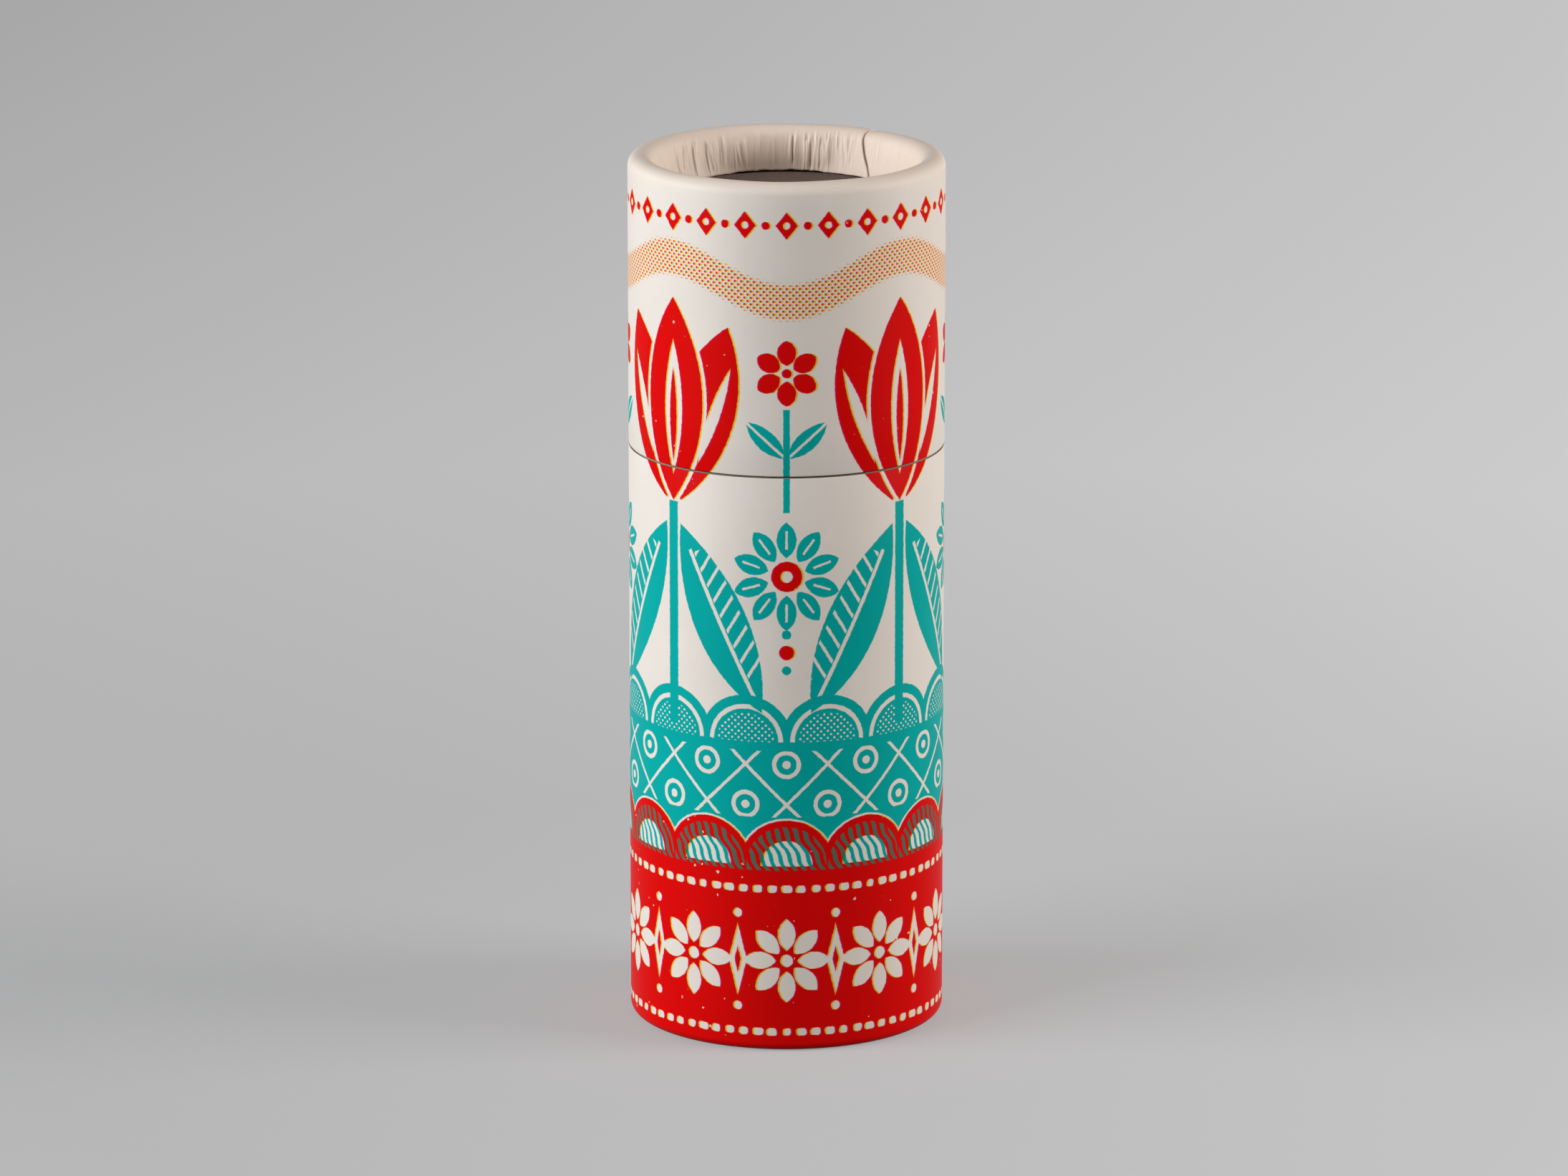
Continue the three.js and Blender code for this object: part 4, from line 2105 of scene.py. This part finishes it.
@dataclass(frozen=True)
class TubeBase(RolledTube):
    """The base: a rolled tube whose end disc is the floor, and the neck that the lid slides on."""

    body: str = "base"
    pleat_seed: int = 23
    print_flange: Pair = (-1.5, -4.0)
    crest_wave: float = 0.0
    board_short: float = 0.0
    flange_short: float = 0.05 * MM
    neck_wall: float = 0.9 * MM
    neck_lip: float = 0.3 * MM
    neck_step: float = 0.5 * MM
    neck_rise: float = 58.0 * MM
    neck_joint: float = 0.9 * MM
    neck_depth: float = 0.1 * MM
    neck_columns: int = 144

    def build(self) -> None:
        """Builds and dresses the base's pieces."""
        low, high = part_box("base_wrap")
        floor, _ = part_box("base_disc")
        flange = floor.z - low.z - self.flange_short
        rim = self.sizes.rim(self.sizes.base_corner, high.z - low.z, flange)
        self.roll(rim, Facing.DOWN, low.z, BasePlates(self.sizes.print_turn))
        dress(self.neck(), "base", "neck_tube")

    def neck(self) -> Piece:
        """Rolls the neck.

        Returns:
            The piece.
        """
        low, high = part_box("neck_tube")
        piece = linked("inner_neck", bpy.data.meshes.new("inner_neck"))
        section = (high.x - self.neck_wall, high.x, low.z, high.z, self.neck_lip, self.neck_step)
        joint = (self.neck_rise, self.neck_joint, self.neck_depth)
        values = dict(zip(SpiralTubeTree.LENGTHS, section + joint))
        SpiralTubeTree().grow(piece, {**values, "Columns": self.neck_columns, "Material": self.white_board})
        return piece


# The matches


@dataclass(frozen=True)
class StickFrame:
    """How a stick stands: its foot, its two sides' directions, its axis, its half width and its length."""

    foot: Array
    side: Array
    other_side: Array
    axis: Array
    half_width: float
    length: float

    @classmethod
    def of_node(cls, node: Piece, axis: Array) -> "StickFrame":
        """Finds how a stick stands.

        Args:
            node: The stick's node.
            axis: The match's own axis, from foot to head.

        Returns:
            The stick's frame.
        """
        points = vertices(node)
        height = points @ axis
        low, high = height.min(), height.max()
        corners = np.unique(points[height < (low + high) / 2].round(WELD_DIGITS), axis=0)
        foot = corners.mean(axis=0)
        reach = corners - foot
        diagonal = reach[np.argmax(np.linalg.norm(reach, axis=1))]
        half_diagonal = float(np.linalg.norm(diagonal))
        corner_way = diagonal / half_diagonal
        side = (corner_way + np.cross(axis, corner_way)) / math.sqrt(2)
        return cls(foot, side, np.cross(axis, side), axis, half_diagonal / math.sqrt(2), high - low)

    def placed(self, local: Array) -> Array:
        """Points from the stick's own axes in the shared frame."""
        return self.foot + local @ np.stack((self.side, self.other_side, self.axis))

    def heights(self, points: Array) -> tuple[Array, Array]:
        """How points of the shared frame lie about the stick.

        Args:
            points: The points.

        Returns:
            Their heights over the foot, and their distances from the axis.
        """
        local = points - self.foot
        height = local @ self.axis
        return height, np.linalg.norm(local - np.outer(height, self.axis), axis=1)


@dataclass(frozen=True)
class Stick:
    """A square wooden stick: rounded along its edges, a little bowed and twisted."""

    corner: float = 0.22 * MM
    corner_steps: int = 3
    rows: int = 24
    end_bevel: float = 0.5
    thinning: Pair = (0.965, 1.0)
    bow: float = 0.09 * MM
    bow_share: Pair = (0.2, 1.0)
    twist: float = 0.03
    grain_room: float = 90.0

    def outline(self, half: float) -> Array:
        """The rounded square.

        Args:
            half: Half its width.

        Returns:
            Its points in order.
        """
        steps = (np.arange(self.corner_steps) / (self.corner_steps - 1) - 0.5) * math.pi / 2
        middles = math.pi / 4 + np.arange(4)[:, None] * math.pi / 2
        centre = (half - self.corner) * math.sqrt(2)
        x = centre * np.cos(middles) + self.corner * np.cos(middles + steps)
        y = centre * np.sin(middles) + self.corner * np.sin(middles + steps)
        return np.stack((x.reshape(-1), y.reshape(-1)))

    def solid(self, frame: StickFrame, draw: random.Random) -> Solid:
        """Builds the stick.

        Args:
            frame: How it stands.
            draw: The match's own random draws.

        Returns:
            The closed stick, with the places of its grain.
        """
        half = frame.half_width * draw.uniform(*self.thinning)
        bevel = self.corner * self.end_bevel
        along = np.linspace(bevel, frame.length - bevel, self.rows)
        along = np.concatenate(([0.0], along, [frame.length]))[:, None]
        shrink = np.ones_like(along)
        shrink[0] = shrink[-1] = 1 - bevel / half
        bow_way = draw.uniform(0.0, math.tau)
        bow = self.bow * draw.uniform(*self.bow_share) * np.sin(math.pi * along / frame.length)
        twist = draw.uniform(-self.twist, self.twist) * along / frame.length
        x, y = (side[None, :] * shrink for side in self.outline(half))
        local = np.stack(
            (
                x * np.cos(twist) - y * np.sin(twist) + bow * math.cos(bow_way),
                x * np.sin(twist) + y * np.cos(twist) + bow * math.sin(bow_way),
                np.broadcast_to(along, x.shape),
            ),
            axis=-1,
        )
        poles = np.array(((0.0, 0.0, 0.0), (0.0, 0.0, frame.length)))
        solid = Solid.of_turning(frame.placed(local), *frame.placed(poles))
        shift = np.array((draw.uniform(0.0, self.grain_room), draw.uniform(0.0, self.grain_room), 0.0))
        solid.vectors[GRAIN] = np.concatenate((local.reshape(-1, 3), poles)) / MM + shift
        return solid


@dataclass(frozen=True)
class Head:
    """A dipped head: a lumpy dome with a square socket round the stick's end, and loose grains on it.

    Each wave of its lumps has a count round the head, a count up it and a strength.
    """

    columns: int = 32
    rows: int = 20
    crust: float = 0.05 * MM
    socket_room: float = 1.02
    socket_gap: float = 0.05 * MM
    dome_start: float = 0.5
    dome_power: float = 2.2
    neck: float = 0.93
    neck_reach: float = 0.55
    lumps: tuple[Triple, ...] = ((3, 5, 1.0), (5, -9, 0.8), (8, 15, 0.6))
    skirt: float = 0.35 * MM
    skirt_waves: tuple[int, int] = (2, 5)
    skirt_power: int = 3
    skirt_room: float = 0.4 * MM
    skirt_lip: float = 0.1 * MM
    grit: Grit = Grit(2.2e6, 0.04 * MM, 0.1 * MM)
    grit_clear: float = 1.03
    grit_over: float = 1.0 * MM

    def solid(self, frame: StickFrame, node: Piece, draw: random.Random) -> Solid:
        """Builds the head.

        Args:
            frame: How its stick stands.
            node: The head's node, which gives its size.
            draw: The match's own random draws.

        Returns:
            The closed head.
        """
        height, reach = frame.heights(vertices(node))
        bottom, top, radius = height.min(), height.max(), reach.max()
        angle = around(self.columns)
        socket = np.maximum(np.abs(np.cos(angle)), np.abs(np.sin(angle)))
        socket = frame.half_width * self.socket_room / socket
        share = np.linspace(0.0, 1.0, self.rows)[:-1, None]
        dome = np.clip((share - self.dome_start) / (1 - self.dome_start), 0.0, 1.0)
        rounding = np.sqrt(np.maximum(1 - dome**self.dome_power, 0.0))
        widening = np.sin(np.clip(share / self.neck_reach, 0.0, 1.0) * math.pi / 2)
        swell = self.neck + (1 - self.neck) * widening
        *phases, skirt_phase = (draw.uniform(0.0, math.tau) for _ in range(len(self.lumps) + 1))
        lumps = sum(
            strength * np.sin(across * angle + along * share + phase)
            for (across, along, strength), phase in zip(self.lumps, phases)
        ) / sum(strength for _, _, strength in self.lumps)
        skin = ((radius - 2 * self.crust) * swell + self.crust * lumps) * rounding
        first, second = self.skirt_waves
        skirt = np.sin(first * angle + skirt_phase) + np.sin(second * angle)
        skirt = self.skirt * skirt * (1 - share) ** self.skirt_power
        rise = bottom + self.skirt_room + (top - self.skirt_room - bottom - self.crust) * share + skirt
        inner_top = frame.length + self.socket_gap
        around_stick = np.concatenate((socket, socket, skin))
        up = np.concatenate((np.full_like(socket, inner_top), rise[:1] + self.skirt_lip, rise))
        rings = np.stack((around_stick * np.cos(angle), around_stick * np.sin(angle), up), axis=-1)
        poles = np.array(((0.0, 0.0, inner_top), (0.0, 0.0, top - self.crust)))
        return Solid.of_turning(frame.placed(rings), *frame.placed(poles))

    def coated(self, frame: StickFrame, head: Piece) -> list[bool]:
        """Finds the outside of a head.

        Args:
            frame: How its stick stands.
            head: The head.

        Returns:
            For each of its points, whether it lies outside the socket.
        """
        height, reach = frame.heights(vertices(head))
        clear = reach > frame.half_width * math.sqrt(2) * self.grit_clear
        return (clear | (height > frame.length + self.grit_over)).tolist()


@dataclass(frozen=True)
class MatchBundle:
    """The long matches that stand in the neck, each a stick with a dipped head, from the frame's records."""

    nodes: dict[str, Piece]
    joints: list[dict[str, Any]]
    stick: Stick = Stick()
    head: Head = Head()
    seed: int = 100

    def build(self, scatter: GritTree) -> None:
        """Builds and dresses each match.

        Args:
            scatter: What scatters the grains on the heads.
        """
        wood = AspenWood().material()
        compound = MatchCompound().material()
        lifts = [joint for joint in self.joints if joint["child"].startswith("match_")]
        for number, joint in enumerate(lifts, start=1):
            stick_node, head_node = f"match_stick_{number:02d}", f"match_head_{number:02d}"
            draw = random.Random(self.seed + number)
            axis = np.array(Vector(joint["axis"]).normalized())
            frame = StickFrame.of_node(self.nodes[stick_node], axis)
            stick = self.stick.solid(frame, draw).piece(f"matchstick_{number:02d}", wood)
            dress(stick, joint["child"], stick_node)
            solid = self.head.solid(frame, self.nodes[head_node], draw)
            head = solid.piece(f"matchhead_{number:02d}", compound)
            scatter.scatter(head, self.head.coated(frame, head), self.head.grit, number, compound)
            dress(head, joint["child"], head_node)


# The studio


def direction(azimuth: float, elevation: float) -> Vector:
    """The way from the object towards a place seen at these degrees, azimuth 0 at the front."""
    turn, rise = math.radians(azimuth), math.radians(elevation)
    return Vector((math.sin(turn) * math.cos(rise), -math.cos(turn) * math.cos(rise), math.sin(rise)))


def turn_to(thing: bpy.types.Object, aim: Vector, back: Vector, distance: float) -> None:
    """Puts a lamp or the camera at a distance on the way back from the point of aim, and turns it there."""
    thing.location = aim + back * distance
    thing.rotation_euler = (-back).to_track_quat("-Z", "Y").to_euler()


@dataclass(frozen=True)
class SoftBox:
    """A rectangular lamp that faces a point."""

    name: str
    azimuth: float
    elevation: float
    distance: float
    size: Pair
    power: float
    colour: Colour

    def build(self, aim: Vector) -> None:
        """Makes the lamp.

        Args:
            aim: The point that it faces.
        """
        data = bpy.data.lights.new(self.name, "AREA")
        data.shape = "RECTANGLE"
        data.size, data.size_y = self.size
        data.energy = self.power
        data.color = self.colour
        lamp = linked(self.name, data)
        turn_to(lamp, aim, direction(self.azimuth, self.elevation), self.distance)
        lamp.visible_camera = False


@dataclass(frozen=True)
class Studio:
    """The pale sweep, the soft boxes and the camera at the photograph's angle."""

    aim: Triple = (-0.32 * MM, 0.0, 55.45 * MM)
    camera_elevation: float = 14.39
    camera_distance: float = 1.0934
    lens: float = 197.4
    sensor: float = 36.0
    clip: Pair = (0.05, 20.0)
    floor_radius: float = 1.6
    sweep_radius: float = 0.9
    wall_height: float = 2.6
    floor_rows: int = 12
    sweep_rows: int = 16
    sweep_columns: int = 96
    flag_way: Pair = (8.0, 28.0)
    flag_distance: float = 0.5
    flag_size: Pair = (0.7, 0.55)
    flag_floor: Colour = (0.02, 0.02, 0.02)
    flag_wall: Colour = (0.03, 0.03, 0.03)
    ambient: float = 0.17
    ambient_colour: Colour = (1.0, 0.95, 0.93)
    lamps: tuple[SoftBox, ...] = (
        SoftBox("key_box", -67.0, 19.5, 0.85, (0.68, 0.62), 8.7, (0.985, 0.995, 1.0)),
        SoftBox("fill_box", 82.0, 18.0, 0.85, (0.45, 0.62), 6.6, (1.0, 0.945, 0.90)),
    )

    def build(self) -> None:
        """Builds the whole set."""
        aim = Vector(self.aim)
        self.sweep()
        self.flag(aim)
        for lamp in self.lamps:
            lamp.build(aim)
        self.world()
        self.camera(aim)
        bpy.context.scene.view_settings.view_transform = "Standard"

    def sweep(self) -> None:
        """Makes the floor that curves up into a wall all round."""
        bend = np.linspace(0.0, math.pi / 2, self.sweep_rows)[1:]
        floor = np.linspace(0.0, self.floor_radius, self.floor_rows)[1:]
        radius = np.concatenate((floor, self.floor_radius + self.sweep_radius * np.sin(bend)))
        height = np.concatenate((np.zeros(len(floor)), self.sweep_radius * (1 - np.cos(bend))))
        radius = np.append(radius, radius[-1])
        height = np.append(height, self.wall_height)
        rings = round_points(radius[:, None], around(self.sweep_columns), height[:, None])
        numbers = numbered(rings)
        faces = cells(numbers)[:, ::-1].tolist() + [tuple(numbers[0, :-1].tolist())]
        mesh = bpy.data.meshes.new("studio_sweep")
        mesh.from_pydata(rings.reshape(-1, 3).tolist(), [], faces)
        mesh.shade_smooth()
        mesh.materials.append(StageCard().material())
        linked("studio_sweep", mesh)

    def flag(self, aim: Vector) -> None:
        """Hangs the dark card that keeps the front from filling with light.

        Args:
            aim: The point that it faces.
        """
        back = direction(*self.flag_way)
        across = back.cross(Vector((0.0, 0.0, 1.0))).normalized() * self.flag_size[0] / 2
        upright = across.normalized().cross(back) * self.flag_size[1] / 2
        middle = aim + back * self.flag_distance
        ends = (-across - upright, across - upright, across + upright, upright - across)
        mesh = bpy.data.meshes.new("dark_flag")
        mesh.from_pydata([middle + end for end in ends], [], [(0, 1, 2, 3)])
        dark = StageCard(name="dark_card", floor=self.flag_floor, wall=self.flag_wall)
        mesh.materials.append(replace(dark, near_glow=0.0, far_glow=0.0, glow_tilt=0.0).material())
        flag = linked("dark_flag", mesh)
        flag.visible_camera = False

    def world(self) -> None:
        """Sets the even light from all round."""
        world = bpy.data.worlds.new("studio_light")
        bpy.context.scene.world = world
        world.use_nodes = True
        background = world.node_tree.nodes["Background"].inputs
        background["Color"].default_value = (*self.ambient_colour, 1.0)
        background["Strength"].default_value = self.ambient

    def camera(self, aim: Vector) -> None:
        """Makes the camera.

        Args:
            aim: The point at the middle of the picture.
        """
        data = bpy.data.cameras.new("photo_camera")
        data.lens = self.lens
        data.sensor_width = self.sensor
        data.clip_start, data.clip_end = self.clip
        camera = linked("photo_camera", data)
        turn_to(camera, aim, direction(0.0, self.camera_elevation), self.camera_distance)
        bpy.context.scene.camera = camera


def main() -> None:
    """Builds every assembly round the frame."""
    logging.basicConfig(level=logging.INFO, format="%(message)s")
    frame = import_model()
    Studio().build()
    grey = Board(name="grey_board", roughness=0.86, pale=(0.50, 0.42, 0.33), dark=(0.33, 0.27, 0.20))
    white = Board(name="white_board", roughness=0.80, pale=(0.74, 0.68, 0.60), dark=(0.60, 0.53, 0.45))
    shared = (TubeSizes(), grey.material(), white.material())
    scatter = GritTree()
    TubeBase(*shared).build()
    SlipLid(*shared).build(scatter)
    MatchBundle(frame["nodes"], frame["joints"]).build(scatter)


if __name__ == "__main__":
    main()
